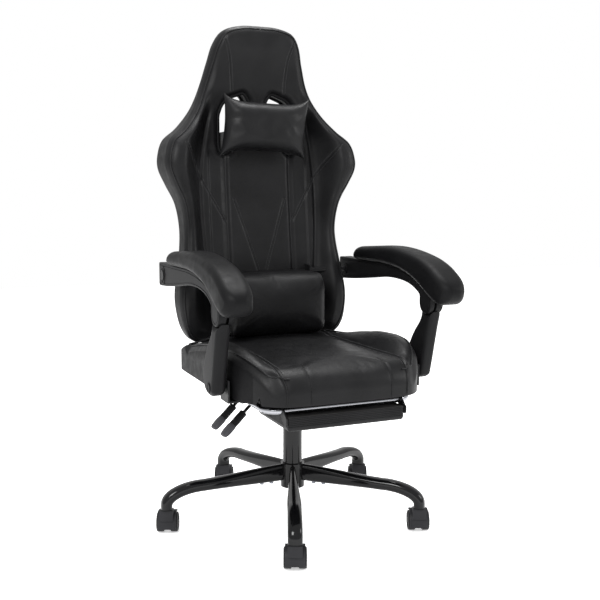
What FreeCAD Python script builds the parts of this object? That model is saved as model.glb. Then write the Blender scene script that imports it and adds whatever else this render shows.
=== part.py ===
import FreeCAD, Part
import math
import os
from FreeCAD import Vector

# Racing-style office chair. Millimetres and degrees. The origin is on the floor under the gas lift,
# +Z is up and the seat faces -Y, so the sitter's right hand is at -X.

# ---- five-leg base and casters ----
LEG_COUNT = 5
CASTER_RING_RADIUS = 335.0      # from the column to each caster's stem
FRONT_LEG_ANGLE = -22.0         # turn of the first leg from the seat's front
LEG_WALL = 2.0
LEG_END_HEIGHT = 67.0           # underside of a leg's turned-down end
LEG_ROOT_HEIGHT = 129.0         # middle of a leg where it meets the hub
LEG_ROOT_DEPTH = 44.0
LEG_ROOT_WIDTH = 18.0
LEG_END_WIDTH = 35.0
LEG_END_DEPTH = 29.0
LEG_BEND_REACH = 97.0           # how far before the caster the bend starts
LEG_BEND_HEIGHT = 117.0         # middle of the leg where the bend starts
LEG_END_STRAIGHT = 8.0          # upright stretch at the end
HUB_RADIUS = 31.0
HUB_BOTTOM = 91.0
HUB_TOP = 154.0
LEG_BOLT_RADIUS = 2.5
LEG_BOLT_HEAD_RADIUS = 5.0
LEG_BOLT_STATIONS = (58.0, 84.0)
STEM_RADIUS = 5.5
SOCKET_FLANGE = 2.4
SOCKET_DEPTH = 7.0
SOCKET_GAP = 0.4                # between the socket's plug and the inside of the leg
CASTER_HEADING = -23.0          # all casters trail the same way
CASTER_TRAIL = 20.0
WHEEL_RADIUS = 25.0
WHEEL_INNER = 8.0
WHEEL_OUTER = 27.0
AXLE_RADIUS = 4.0
HOOD_INNER_RADIUS = 27.5
HOOD_OUTER_RADIUS = 31.0
HOOD_HALF_WIDTH = 23.5
HOOD_TOP = 63.4
HOOD_NECK_HALF_WIDTH = 17.0

# ---- gas lift ----
TUBE_RADIUS = 25.0
TUBE_WALL = 2.0
TUBE_BOTTOM = 95.0
TUBE_TOP = 338.0
CYLINDER_RADIUS = 14.0
CYLINDER_WALL = 2.0
CYLINDER_BOTTOM = 112.0
CYLINDER_TOP = 380.0
PISTON_ROD_RADIUS = 5.0
BUSH_LENGTH = 40.0
BUSH_FLANGE = 3.0

# ---- fits ----
RUNNING_FIT = 0.05              # radial clearance of a shaft that turns or slides in its hole
SOFT_GAP = 0.5                  # between a soft piece and its neighbour
OPEN_PIVOT_GAP = 2.3            # radial clearance of the armrest's front pin

# ---- under the seat ----
FRAME_BOTTOM = 392.0
FRAME_DEPTH = 12.0
FRAME_BAR = 20.0
FRAME_HALF_WIDTH = 200.0
FRAME_FRONT = -285.0
FRAME_BACK = 150.0
CROSSBAR_PLACES = (-110.0, 85.0)
WEB_THICKNESS = 2.0
WEB_WIDTH = 40.0
WEB_PLACES = (-220.0, -165.0, -50.0, 5.0)
HOUSING_HALF_WIDTH = 80.0
HOUSING_FRONT = -130.0
HOUSING_BACK = 105.0
HOUSING_BOTTOM = 347.0
HOUSING_WALL = 3.0
HOUSING_FLANGE = 16.0
BOLT_RADIUS = 3.0
BOLT_HEAD_RADIUS = 6.0
BOLT_HEAD = 4.0
HEIGHT_LEVER_PLACE = -39.0
RECLINE_LEVER_PLACE = -112.0
LEVER_RADIUS = 4.0
LEVER_PIVOT_X = -58.0
LEVER_KNEE_X = -150.0
LEVER_KNEE_DROP = 7.0
LEVER_TIP_X = -228.0
LEVER_TIP_DROP = 74.0
LEVER_TIP_FORWARD = 16.0
GRIP_START = 38.0               # from the knee along the lever
SLEEVE_RADIUS = 8.5
SLEEVE_LENGTH = 40.0
PADDLE_RADIUS = 10.5
PADDLE_LENGTH = 34.0
LEVER_PIVOT_HEIGHT = 361.0
LEVER_PIN_RADIUS = 2.5
LEVER_LUG_GAP = 6.0
LEVER_LUG = 3.0

# ---- seat cushion ----
SEAT_HALF_WIDTH = 245.0
SEAT_CENTRE_HALF_WIDTH = 165.0
SEAT_HINGE_HALF_WIDTH = 145.0
SEAT_SKIRT_BOTTOM = 385.5
SEAT_FRONT = -334.0
SEAT_TOP = 468.0
SEAT_BACK = 150.0
SEAT_WING_BACK = 208.0

# ---- recline hinge ----
HINGE = (200.0, 420.0)          # y and z of the recline axis
HINGE_SHAFT_RADIUS = 6.0
HINGE_SHAFT_HALF = 118.0
HINGE_EYE_RADIUS = 15.0
EAR_X = 100.0
PLATE = 5.0
HINGE_SIDE_GAP = 1.0

# ---- backrest ----
BACK_PLANE_Y = 196.0            # front of the centre panel at BACK_PLANE_Z
BACK_PLANE_Z = 475.0
BACK_LEAN = math.degrees(math.atan(0.1))
BACK_CHANNEL_HALF_WIDTH = 150.0
BACK_CHANNEL_TOP = 1108.0
BACK_FRAME_SETBACK = 14.0
BACK_FRAME_DEPTH = 18.0
BACK_FRAME_RAIL_X = 112.0
BACK_FRAME_RAIL = 20.0
BACK_FRAME_TOP = 940.0
BACK_FRAME_BOTTOM = 466.0
BRACKET_TOP = 560.0
TRIM_WALL = 3.0

# ---- head and lumbar pillows ----
HEAD_PILLOW_HALF_WIDTH = 114.0
HEAD_PILLOW_BOTTOM = 950.0
HEAD_PILLOW_TOP = 1104.0
HEAD_PILLOW_FRONT = 140.0
HEAD_PILLOW_BACK = 235.5
STRAP_X = 101.5
STRAP_THICKNESS = 2.0
STRAP_BOTTOM = 967.0
STRAP_WIDTH = 50.0
STRAP_BACK = 302.9
LUMBAR_HALF_WIDTH = 130.0
LUMBAR_BOTTOM = 477.0
LUMBAR_TOP = 640.0

# ---- armrest linkage ----
ARM_REAR_PIVOT = (199.0, 638.0)
ARM_FRONT_PIVOT = (-235.0, 588.0)
POST_PIVOT = (-188.0, 415.0)
ARM_INNER = SEAT_HALF_WIDTH + 5
ARM_OUTER = ARM_INNER + 36
PAD_INNER = ARM_INNER - 28
PAD_OUTER = ARM_OUTER + 22
POST_INNER = SEAT_HALF_WIDTH + 8
POST_OUTER = POST_INNER + 34
KNUCKLE_RADIUS = 27.0
SHOULDER_RADIUS = 29.2
TONGUE_HALF = 6.0
TONGUE_RADIUS = 18.0
TONGUE_SIDE_GAP = 1.0
ARM_PIN_RADIUS = 7.0
FRONT_PIN_RADIUS = 4.0
POST_PIN_RADIUS = 6.0
BRACKET_TOP_OF_FOOT = 384.0
BRACKET_PLATE = 4.0

# ---- footrest ----
RAIL_RADIUS = 8.0
RAIL_X = 183.0
RAIL_HEIGHT = 371.0
RAIL_FRONT = -290.0
RAIL_BACK = 160.0
RAIL_CORNER = 38.0
GUIDE_PLACES = (-130.0, 10.0)
GUIDE_LENGTH = 40.0
FOOT_HALF_WIDTH = 147.0
FOOT_FRONT = -322.0
FOOT_BACK = -132.0
FOOT_TOP = 361.0
FOOT_BOARD = 9.0
FOOT_CUSHION = 16.0
FOOT_PIVOT = (-315.0, 351.0)
FOOT_PIN_RADIUS = 3.0
FOOT_PIN_LENGTH = 12.0

os.makedirs("parts", exist_ok=True)


# ---- helpers ----
def save(name, *solids):
    Part.makeCompound(list(solids)).exportStep("parts/" + name + ".step")


def box(x, y, z):
    return Part.makeBox(x[1] - x[0], y[1] - y[0], z[1] - z[0], Vector(x[0], y[0], z[0]))


def rod(start, end, radius):
    start = Vector(*start)
    run = Vector(*end) - start
    return Part.makeCylinder(radius, run.Length, start, run)


def rod_x(place, lo, hi, radius):
    return rod((lo, place[0], place[1]), (hi, place[0], place[1]), radius)


def rod_z(x, y, lo, hi, radius):
    return rod((x, y, lo), (x, y, hi), radius)


def tube_z(lo, hi, outer, inner):
    return rod_z(0, 0, lo, hi, outer).cut(rod_z(0, 0, lo, hi, inner))


def to_yz(point):
    return Vector(0, point[0], point[1])


def to_xz(point):
    return Vector(point[0], 0, point[1])


def edge_through(points, plane):
    """A straight edge through two points, or a smooth one through more."""
    spots = [plane(point) for point in points]
    if len(spots) == 2:
        return Part.makeLine(spots[0], spots[1])
    curve = Part.BSplineCurve()
    curve.interpolate(spots)
    return curve.toShape()


def arc(centre, radius, start, end, plane):
    """An arc from one angle to another, in degrees from the plane's first axis."""
    def spot(angle):
        turn = math.radians(angle)
        return plane((centre[0] + radius * math.cos(turn), centre[1] + radius * math.sin(turn)))
    return Part.Arc(spot(start), spot((start + end) / 2.0), spot(end)).toShape()


def prism(edges, lo, hi, axis):
    """The closed outline made by the edges, pushed from lo to hi along an axis."""
    face = Part.Face(Part.Wire(Part.__sortEdges__(edges)))
    face.translate(axis * lo)
    return face.extrude(axis * (hi - lo))


def polygon_prism(points, lo, hi, plane, axis):
    spots = [plane(point) for point in points]
    face = Part.Face(Part.makePolygon(spots + [spots[0]]))
    face.translate(axis * lo)
    return face.extrude(axis * (hi - lo))


X = Vector(1, 0, 0)
Y = Vector(0, 1, 0)
Z = Vector(0, 0, 1)


def side_plate(points, lo, hi):
    """A flat plate cut to an outline in y and z."""
    return polygon_prism(points, lo, hi, to_yz, X)


def mirrored(shape):
    return shape.mirror(Vector(0, 0, 0), X)


def both_sides(shape):
    return [shape, mirrored(shape)]


def turned(shape, angle):
    copy = shape.copy()
    copy.rotate(Vector(0, 0, 0), Z, angle)
    return copy


# ---- base ----
def leg_section(reach, height, tilt, depth, width, power=2.6, count=16):
    """A rounded-oval cross-section of a leg that runs outwards along -Y."""
    slope = math.radians(tilt)
    spots = []
    for step in range(count):
        a = 2 * math.pi * step / count
        across = math.copysign(abs(math.cos(a)) ** (2 / power), math.cos(a)) * width / 2
        along = math.copysign(abs(math.sin(a)) ** (2 / power), math.sin(a)) * depth / 2
        out = reach + along * math.sin(slope)
        spots.append(Vector(across, -out, height + along * math.cos(slope)))
    curve = Part.BSplineCurve()
    curve.interpolate(spots, True)
    return Part.Wire(curve.toShape())


def leg_stations(root_reach, end_height):
    """Reach, height, tilt, depth and width along a leg: a long taper, then an elliptical bend."""
    bend_start = CASTER_RING_RADIUS - LEG_BEND_REACH
    bend_end = LEG_END_HEIGHT + LEG_END_STRAIGHT
    fall = LEG_ROOT_HEIGHT - LEG_BEND_HEIGHT
    slope = math.degrees(math.atan2(fall, bend_start - root_reach))
    stations = []
    for step in range(5):
        part = step / 5.0
        swell = part * part * (3 - 2 * part)
        stations.append((root_reach + (bend_start - root_reach) * part, LEG_ROOT_HEIGHT - fall * part, slope,
                         LEG_ROOT_DEPTH + (LEG_END_DEPTH - LEG_ROOT_DEPTH) * swell,
                         LEG_ROOT_WIDTH + (LEG_END_WIDTH - LEG_ROOT_WIDTH) * swell))
    drop = LEG_BEND_HEIGHT - bend_end
    for step in range(7):
        turn = math.radians(90.0 * step / 6)
        tilt = math.degrees(math.atan2(drop * math.sin(turn), LEG_BEND_REACH * math.cos(turn)))
        stations.append((bend_start + LEG_BEND_REACH * math.sin(turn), bend_end + drop * math.cos(turn),
                         max(tilt, slope), LEG_END_DEPTH, LEG_END_WIDTH))
    stations.append((CASTER_RING_RADIUS, end_height, 90, LEG_END_DEPTH, LEG_END_WIDTH))
    return stations


def leg_loft(inset, root_reach, end_height):
    """A leg from the hub to its turned-down end, smaller all round by the inset."""
    wires = [leg_section(reach, height, tilt, depth - 2 * inset, width - 2 * inset)
             for reach, height, tilt, depth, width in leg_stations(root_reach, end_height)]
    return Part.makeLoft(wires, True, True)


def leg_parts():
    outer = leg_loft(0.0, HUB_RADIUS - 6, LEG_END_HEIGHT)
    inner = leg_loft(LEG_WALL, HUB_RADIUS - 8, LEG_END_HEIGHT - 1)
    hub_core = rod_z(0, 0, HUB_BOTTOM - 20, HUB_TOP + 20, HUB_RADIUS)
    leg = outer.cut(inner).cut(hub_core)
    bolts = []
    for reach in LEG_BOLT_STATIONS:
        shank = rod_z(0, -reach, HUB_BOTTOM, HUB_BOTTOM + 26, LEG_BOLT_RADIUS)
        head = rod_z(0, -reach, HUB_BOTTOM + 10, HUB_BOTTOM + 22, LEG_BOLT_HEAD_RADIUS)
        floor = box((-20, 20), (-reach - 20, -reach + 20), (0, HUB_BOTTOM + 11))
        bolts.append(head.cut(outer).fuse(shank).cut(floor).removeSplitter())
        leg = leg.cut(shank)
    plug = Part.Face(leg_section(CASTER_RING_RADIUS, LEG_END_HEIGHT, 90,
                                 LEG_END_DEPTH - 2 * (LEG_WALL + SOCKET_GAP),
                                 LEG_END_WIDTH - 2 * (LEG_WALL + SOCKET_GAP)))
    flange = Part.Face(leg_section(CASTER_RING_RADIUS, LEG_END_HEIGHT, 90, LEG_END_DEPTH,
                                   LEG_END_WIDTH))
    socket = plug.extrude(Z * SOCKET_DEPTH).fuse(flange.extrude(Z * -SOCKET_FLANGE))
    stem = rod_z(0, -CASTER_RING_RADIUS, HOOD_TOP - 22, LEG_END_HEIGHT + SOCKET_DEPTH, STEM_RADIUS)
    return leg, bolts, socket.cut(stem), stem


def caster():
    """A twin-wheel caster with its stem on the Z axis, trailing along +Y."""
    axle_place = (CASTER_TRAIL, WHEEL_RADIUS)
    shell = prism([
        arc(axle_place, HOOD_OUTER_RADIUS, 202, 52, to_yz),
        arc(axle_place, HOOD_INNER_RADIUS, 202, 52, to_yz),
        edge_through([(axle_place[0] + r * math.cos(math.radians(52)),
                       axle_place[1] + r * math.sin(math.radians(52)))
                      for r in (HOOD_INNER_RADIUS, HOOD_OUTER_RADIUS)], to_yz),
        edge_through([(axle_place[0] + r * math.cos(math.radians(202)),
                       axle_place[1] + r * math.sin(math.radians(202)))
                      for r in (HOOD_INNER_RADIUS, HOOD_OUTER_RADIUS)], to_yz),
    ], -HOOD_HALF_WIDTH, HOOD_HALF_WIDTH, X)
    neck_back = HOOD_OUTER_RADIUS - CASTER_TRAIL + 2
    neck = box((-HOOD_NECK_HALF_WIDTH, HOOD_NECK_HALF_WIDTH), (-neck_back + 1, neck_back), (36, HOOD_TOP))
    web_half = WHEEL_INNER - 0.6
    clear = rod_x(axle_place, web_half, 40, HOOD_INNER_RADIUS)
    neck = neck.cut(clear).cut(mirrored(clear))
    web = box((-web_half, web_half), (-8, CASTER_TRAIL + 8), (WHEEL_RADIUS, WHEEL_RADIUS + 25))
    hub = rod_x(axle_place, -web_half, web_half, 12)
    hood = shell.fuse(neck).fuse(web).fuse(hub)
    hood = hood.cut(rod_z(0, 0, HOOD_TOP - 24, HOOD_TOP + 1, STEM_RADIUS + RUNNING_FIT))
    hood = hood.cut(rod_x(axle_place, -30, 30, AXLE_RADIUS + RUNNING_FIT)).removeSplitter()
    rim = [(WHEEL_INNER, AXLE_RADIUS), (WHEEL_INNER, WHEEL_RADIUS - 1), (WHEEL_INNER + 1, WHEEL_RADIUS),
           (WHEEL_OUTER - 3, WHEEL_RADIUS), (WHEEL_OUTER, WHEEL_RADIUS - 4), (WHEEL_OUTER, AXLE_RADIUS)]
    spots = [Vector(x, axle_place[0], axle_place[1] + r) for x, r in rim]
    face = Part.Face(Part.makePolygon(spots + [spots[0]]))
    wheel = face.revolve(Vector(0, axle_place[0], axle_place[1]), X, 360)
    axle = rod_x(axle_place, 1 - WHEEL_OUTER, WHEEL_OUTER - 1, AXLE_RADIUS)
    return hood, [wheel, mirrored(wheel), axle]


def caster_at(shape, angle):
    """A caster piece turned to the common heading and put under the leg at this angle."""
    copy = turned(shape, CASTER_HEADING)
    turn = math.radians(angle)
    copy.translate(Vector(CASTER_RING_RADIUS * math.sin(turn), -CASTER_RING_RADIUS * math.cos(turn), 0))
    return copy


def make_base():
    hub = tube_z(HUB_BOTTOM, HUB_TOP, HUB_RADIUS, TUBE_RADIUS)
    save("base_hub", hub)
    leg, bolts, socket, stem = leg_parts()
    hood, wheels = caster()
    angles = [FRONT_LEG_ANGLE + 360.0 / LEG_COUNT * step for step in range(LEG_COUNT)]
    for number, angle in enumerate(angles, 1):
        save("base_leg_%d" % number, turned(leg, angle))
        save("caster_hood_%d" % number, caster_at(hood, angle))
        save("caster_wheels_%d" % number, *[caster_at(piece, angle) for piece in wheels])
    save("leg_bolts", *[turned(bolt, angle) for angle in angles for bolt in bolts])
    save("caster_sockets", *[turned(socket, angle) for angle in angles])
    save("caster_stems", *[turned(stem, angle) for angle in angles])


# ---- gas lift ----
def make_lift():
    tube = tube_z(TUBE_BOTTOM, TUBE_TOP, TUBE_RADIUS, TUBE_RADIUS - TUBE_WALL)
    floor = tube_z(TUBE_BOTTOM, TUBE_BOTTOM + 3, TUBE_RADIUS - TUBE_WALL, PISTON_ROD_RADIUS + RUNNING_FIT)
    save("lift_outer_tube", tube.fuse(floor).removeSplitter())
    bush = tube_z(TUBE_TOP - BUSH_LENGTH, TUBE_TOP, TUBE_RADIUS - TUBE_WALL, CYLINDER_RADIUS + RUNNING_FIT)
    collar = tube_z(TUBE_TOP, TUBE_TOP + BUSH_FLANGE, TUBE_RADIUS, CYLINDER_RADIUS + RUNNING_FIT)
    save("lift_guide_bush", bush.fuse(collar).removeSplitter())
    rod_top = CYLINDER_TOP - CYLINDER_WALL - 4
    bore = CYLINDER_RADIUS - CYLINDER_WALL
    shaft = rod_z(0, 0, TUBE_BOTTOM - 2.5, rod_top, PISTON_ROD_RADIUS)
    piston = rod_z(0, 0, rod_top - 12, rod_top, bore - RUNNING_FIT)
    clip = rod_z(0, 0, TUBE_BOTTOM - 2.5, TUBE_BOTTOM - 0.5, PISTON_ROD_RADIUS + 4)
    save("lift_piston_rod", shaft.fuse(piston).fuse(clip).removeSplitter())
    save("lift_thrust_bearing",
         tube_z(TUBE_BOTTOM + 3, TUBE_BOTTOM + 9, 15, PISTON_ROD_RADIUS + RUNNING_FIT))
    gas = tube_z(CYLINDER_BOTTOM, CYLINDER_TOP, CYLINDER_RADIUS, bore)
    foot = tube_z(CYLINDER_BOTTOM, CYLINDER_BOTTOM + 6, bore, PISTON_ROD_RADIUS + RUNNING_FIT)
    lid = tube_z(CYLINDER_TOP - CYLINDER_WALL, CYLINDER_TOP, bore, 3)
    save("lift_gas_cylinder", gas.fuse(foot).fuse(lid).removeSplitter())
    save("lift_release_pin", rod_z(0, 0, CYLINDER_TOP - CYLINDER_WALL, CYLINDER_TOP + 5, 3))


# ---- mechanism and seat frame ----
def lever_pieces(place):
    """A cranked lever rod and its grip, both on the sitter's right."""
    height = LEVER_PIVOT_HEIGHT
    pivot = Vector(LEVER_PIVOT_X, place, height)
    knee = Vector(LEVER_KNEE_X, place, height - LEVER_KNEE_DROP)
    tip = Vector(LEVER_TIP_X, place - LEVER_TIP_FORWARD, height - LEVER_TIP_DROP)
    lean = (tip - knee).normalize()
    upper = rod(tuple(pivot), tuple(knee), LEVER_RADIUS)
    lower = rod(tuple(knee), tuple(tip), LEVER_RADIUS)
    elbow = Part.makeSphere(LEVER_RADIUS, knee)
    eye_block = rod((pivot.x, place - LEVER_LUG_GAP + 0.5, height),
                    (pivot.x, place + LEVER_LUG_GAP - 0.5, height), 6)
    pin_hole = rod((pivot.x, place - 20, height), (pivot.x, place + 20, height),
                   LEVER_PIN_RADIUS + RUNNING_FIT)
    bar = upper.fuse(lower).fuse(elbow).fuse(eye_block).cut(pin_hole).removeSplitter()
    sleeve = Part.makeCylinder(SLEEVE_RADIUS, SLEEVE_LENGTH, knee + lean * GRIP_START, lean)
    paddle = Part.makeCone(SLEEVE_RADIUS, PADDLE_RADIUS, PADDLE_LENGTH,
                           knee + lean * (GRIP_START + SLEEVE_LENGTH), lean)
    grip = sleeve.fuse(paddle).cut(lower).removeSplitter()
    return bar, grip


def make_mechanism():
    wall = HOUSING_WALL
    half = HOUSING_HALF_WIDTH
    outer = box((-half, half), (HOUSING_FRONT, HOUSING_BACK), (HOUSING_BOTTOM, FRAME_BOTTOM))
    inner = box((wall - half, half - wall), (HOUSING_FRONT + wall, HOUSING_BACK - wall),
                (HOUSING_BOTTOM + wall, FRAME_BOTTOM + 1))
    flange = box((-half - HOUSING_FLANGE, half + HOUSING_FLANGE), (HOUSING_FRONT, HOUSING_BACK),
                 (FRAME_BOTTOM - wall, FRAME_BOTTOM)).cut(inner)
    housing = outer.cut(inner).fuse(flange)
    housing = housing.cut(rod_z(0, 0, HOUSING_BOTTOM - 1, FRAME_BOTTOM, CYLINDER_RADIUS))
    pins = []
    for place in (HEIGHT_LEVER_PLACE, RECLINE_LEVER_PLACE):
        window = box((-half - 1, -half + wall + 1), (place - 6, place + 6),
                     (LEVER_PIVOT_HEIGHT - 10, LEVER_PIVOT_HEIGHT + 9))
        housing = housing.cut(window)
        for side in (-1, 1):
            near = place + side * LEVER_LUG_GAP
            far = near + side * LEVER_LUG
            lug = box((LEVER_PIVOT_X - 6, LEVER_PIVOT_X + 6), (min(near, far), max(near, far)),
                      (HOUSING_BOTTOM + wall, LEVER_PIVOT_HEIGHT + 6))
            housing = housing.fuse(lug)
        reach = LEVER_LUG_GAP + LEVER_LUG
        pin = rod((LEVER_PIVOT_X, place - reach, LEVER_PIVOT_HEIGHT),
                  (LEVER_PIVOT_X, place + reach, LEVER_PIVOT_HEIGHT), LEVER_PIN_RADIUS)
        housing = housing.cut(pin)
        pins.append(pin)
    bolts = []
    for y in CROSSBAR_PLACES:
        for x in (-half - HOUSING_FLANGE / 2, half + HOUSING_FLANGE / 2):
            shank = rod_z(x, y, FRAME_BOTTOM - wall, FRAME_BOTTOM + FRAME_DEPTH - 2, BOLT_RADIUS)
            head = rod_z(x, y, FRAME_BOTTOM - wall - BOLT_HEAD, FRAME_BOTTOM - wall, BOLT_HEAD_RADIUS)
            housing = housing.cut(shank)
            bolts.append(shank.fuse(head).removeSplitter())
    save("mechanism_housing", housing.removeSplitter())
    save("mechanism_bolts", *bolts)
    save("lever_pivot_pins", *pins)
    for name, place in (("height_lever", HEIGHT_LEVER_PLACE), ("recline_lever", RECLINE_LEVER_PLACE)):
        bar, grip = lever_pieces(place)
        save(name + "_rod", bar)
        save(name + "_grip", grip)
    return bolts


def make_seat_frame(bolts):
    half = FRAME_HALF_WIDTH
    bar = FRAME_BAR
    tall = (FRAME_BOTTOM, FRAME_BOTTOM + FRAME_DEPTH)
    ring = box((-half, half), (FRAME_FRONT, FRAME_BACK), tall)
    ring = ring.cut(box((bar - half, half - bar), (FRAME_FRONT + bar, FRAME_BACK - bar), tall))
    for y in CROSSBAR_PLACES:
        ring = ring.fuse(box((bar - half, half - bar), (y - bar / 2, y + bar / 2), tall))
    for bolt in bolts:
        ring = ring.cut(bolt)
    save("seat_frame", ring.removeSplitter())
    top = FRAME_BOTTOM + FRAME_DEPTH
    straps = [box((-half + 2, half - 2), (y, y + WEB_WIDTH), (top, top + WEB_THICKNESS))
              for y in WEB_PLACES]
    save("seat_webbing", *straps)


def make_seat_cushion():
    """One closed solid: a level centre between two raised side bolsters, hollow underneath."""
    under = SEAT_SKIRT_BOTTOM
    centre = prism([
        edge_through([(SEAT_BACK, under), (SEAT_FRONT + 14, under)], to_yz),
        edge_through([(SEAT_FRONT + 14, under), (SEAT_FRONT + 2, SEAT_TOP - 60),
                      (SEAT_FRONT, SEAT_TOP - 36), (SEAT_FRONT + 18, SEAT_TOP - 6),
                      (SEAT_FRONT + 60, SEAT_TOP)], to_yz),
        edge_through([(SEAT_FRONT + 60, SEAT_TOP), (SEAT_BACK - 6, SEAT_TOP)], to_yz),
        edge_through([(SEAT_BACK - 6, SEAT_TOP), (SEAT_BACK, SEAT_TOP - 6)], to_yz),
        edge_through([(SEAT_BACK, SEAT_TOP - 6), (SEAT_BACK, under)], to_yz),
    ], -SEAT_CENTRE_HALF_WIDTH, SEAT_CENTRE_HALF_WIDTH, X)
    wing_front = SEAT_FRONT + 44
    wing = prism([
        edge_through([(SEAT_WING_BACK - 22, under), (wing_front + 12, under)], to_yz),
        edge_through([(wing_front + 12, under), (wing_front, SEAT_TOP - 40),
                      (wing_front + 28, SEAT_TOP + 2), (wing_front + 90, SEAT_TOP + 31),
                      (wing_front + 165, SEAT_TOP + 34), (wing_front + 280, SEAT_TOP + 22),
                      (wing_front + 420, SEAT_TOP - 8), (SEAT_WING_BACK - 2, SEAT_TOP - 33)], to_yz),
        edge_through([(SEAT_WING_BACK - 2, SEAT_TOP - 33), (SEAT_WING_BACK, SEAT_TOP - 60)], to_yz),
        edge_through([(SEAT_WING_BACK, SEAT_TOP - 60), (SEAT_WING_BACK - 22, under)], to_yz),
    ], SEAT_CENTRE_HALF_WIDTH - 20, SEAT_HALF_WIDTH, X)
    recess_top = FRAME_BOTTOM + FRAME_DEPTH + WEB_THICKNESS
    edge = FRAME_HALF_WIDTH + SOFT_GAP
    recess = box((-edge, edge), (FRAME_FRONT - SOFT_GAP, FRAME_BACK + SOFT_GAP), (under - 1, recess_top))
    hinge_room = box((-SEAT_HINGE_HALF_WIDTH, SEAT_HINGE_HALF_WIDTH),
                     (SEAT_BACK, SEAT_WING_BACK + 1), (under - 1, SEAT_TOP + 60))
    cushion = centre.fuse(wing).fuse(mirrored(wing)).cut(recess).cut(hinge_room)
    save("seat_cushion", cushion.removeSplitter())


def make_seat_brackets():
    """Ears and shaft of the recline hinge, and the brackets that carry the armrest posts."""
    y, z = HINGE
    low = FRAME_BOTTOM - FRAME_DEPTH
    ear = side_plate([(60, low), (y + 8, low), (y + HINGE_EYE_RADIUS, z - 8), (y + 12, z + 9),
                      (y, z + HINGE_EYE_RADIUS), (y - 12, z + 9), (y - HINGE_EYE_RADIUS, z - 6),
                      (FRAME_BACK + 3, FRAME_BOTTOM), (60, FRAME_BOTTOM)], EAR_X, EAR_X + PLATE)
    shaft = rod_x(HINGE, -HINGE_SHAFT_HALF, HINGE_SHAFT_HALF, HINGE_SHAFT_RADIUS)
    save("recline_ears", *both_sides(ear.cut(shaft)))
    save("recline_shaft", shaft)
    py, pz = POST_PIVOT
    foot = box((FRAME_HALF_WIDTH - 40, SEAT_HALF_WIDTH + 1 + BRACKET_PLATE), (py - 27, py + 27),
               (BRACKET_TOP_OF_FOOT - BRACKET_PLATE, BRACKET_TOP_OF_FOOT))
    riser = box((FRAME_HALF_WIDTH - FRAME_BAR, FRAME_HALF_WIDTH), (py - 27, py + 27),
                (BRACKET_TOP_OF_FOOT, FRAME_BOTTOM))
    upright = box((SEAT_HALF_WIDTH + 1, SEAT_HALF_WIDTH + 1 + BRACKET_PLATE), (py - 27, py + 27),
                  (BRACKET_TOP_OF_FOOT, pz + 17))
    pin = rod_x(POST_PIVOT, SEAT_HALF_WIDTH + 2, POST_OUTER - 8, POST_PIN_RADIUS)
    bracket = foot.fuse(riser).fuse(upright).fuse(pin).removeSplitter()
    save("armrest_brackets", *both_sides(bracket))


# ---- footrest ----
def make_footrest():
    r = RAIL_RADIUS
    corner_x = RAIL_X - RAIL_CORNER
    corner_y = RAIL_FRONT + RAIL_CORNER
    z = RAIL_HEIGHT
    bend = math.sqrt(0.5) * RAIL_CORNER
    path = Part.Wire([
        Part.makeLine(Vector(-RAIL_X, RAIL_BACK, z), Vector(-RAIL_X, corner_y, z)),
        Part.Arc(Vector(-RAIL_X, corner_y, z), Vector(-corner_x - bend, corner_y - bend, z),
                 Vector(-corner_x, RAIL_FRONT, z)).toShape(),
        Part.makeLine(Vector(-corner_x, RAIL_FRONT, z), Vector(corner_x, RAIL_FRONT, z)),
        Part.Arc(Vector(corner_x, RAIL_FRONT, z), Vector(corner_x + bend, corner_y - bend, z),
                 Vector(RAIL_X, corner_y, z)).toShape(),
        Part.makeLine(Vector(RAIL_X, corner_y, z), Vector(RAIL_X, RAIL_BACK, z)),
    ])
    outline = Part.Wire(Part.Circle(Vector(-RAIL_X, RAIL_BACK, z), Y, r).toShape())
    rail = path.makePipeShell([outline], True, True)
    save("footrest_tube", rail)
    guides = []
    for y in GUIDE_PLACES:
        block = box((RAIL_X - 11, RAIL_X + 11), (y - GUIDE_LENGTH / 2, y + GUIDE_LENGTH / 2),
                    (RAIL_HEIGHT - r - 2.5, FRAME_BOTTOM))
        block = block.cut(rod((RAIL_X, y - 60, z), (RAIL_X, y + 60, z), r + RUNNING_FIT))
        guides += both_sides(block)
    save("footrest_guides", *guides)
    py, pz = FOOT_PIVOT
    inner = FOOT_HALF_WIDTH + 1
    plate = side_plate([(py - 8, pz - 2), (py - 5, pz - 8), (py + 5, pz - 8), (py + 14, pz - 2),
                        (RAIL_FRONT + 13, z + 2), (RAIL_FRONT + 8, z + 9), (RAIL_FRONT - 8, z + 9),
                        (py - 8, pz + 8)], inner, inner + BRACKET_PLATE)
    pin = rod_x(FOOT_PIVOT, inner - FOOT_PIN_LENGTH - 1, inner + 1, FOOT_PIN_RADIUS)
    plate = plate.fuse(pin).cut(rail).removeSplitter()
    save("footrest_hinges", *both_sides(plate))
    board = box((-FOOT_HALF_WIDTH + 2, FOOT_HALF_WIDTH - 2), (FOOT_FRONT + 2, FOOT_BACK - 2),
                (FOOT_TOP - FOOT_BOARD, FOOT_TOP))
    wrap = box((-FOOT_HALF_WIDTH, FOOT_HALF_WIDTH), (FOOT_FRONT, FOOT_BACK),
               (FOOT_TOP - FOOT_BOARD - FOOT_CUSHION, FOOT_TOP - 1)).cut(board)
    bore = rod_x(FOOT_PIVOT, FOOT_HALF_WIDTH - FOOT_PIN_LENGTH - 1, FOOT_HALF_WIDTH + 3,
                 FOOT_PIN_RADIUS + RUNNING_FIT)
    for hole in both_sides(bore):
        board = board.cut(hole)
        wrap = wrap.cut(hole)
    save("footrest_board", board)
    save("footrest_cushion", wrap)


# ---- backrest ----
def back_plane(z):
    """Front of the backrest's centre panel at this height."""
    return BACK_PLANE_Y + (z - BACK_PLANE_Z) * math.tan(math.radians(BACK_LEAN))


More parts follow.
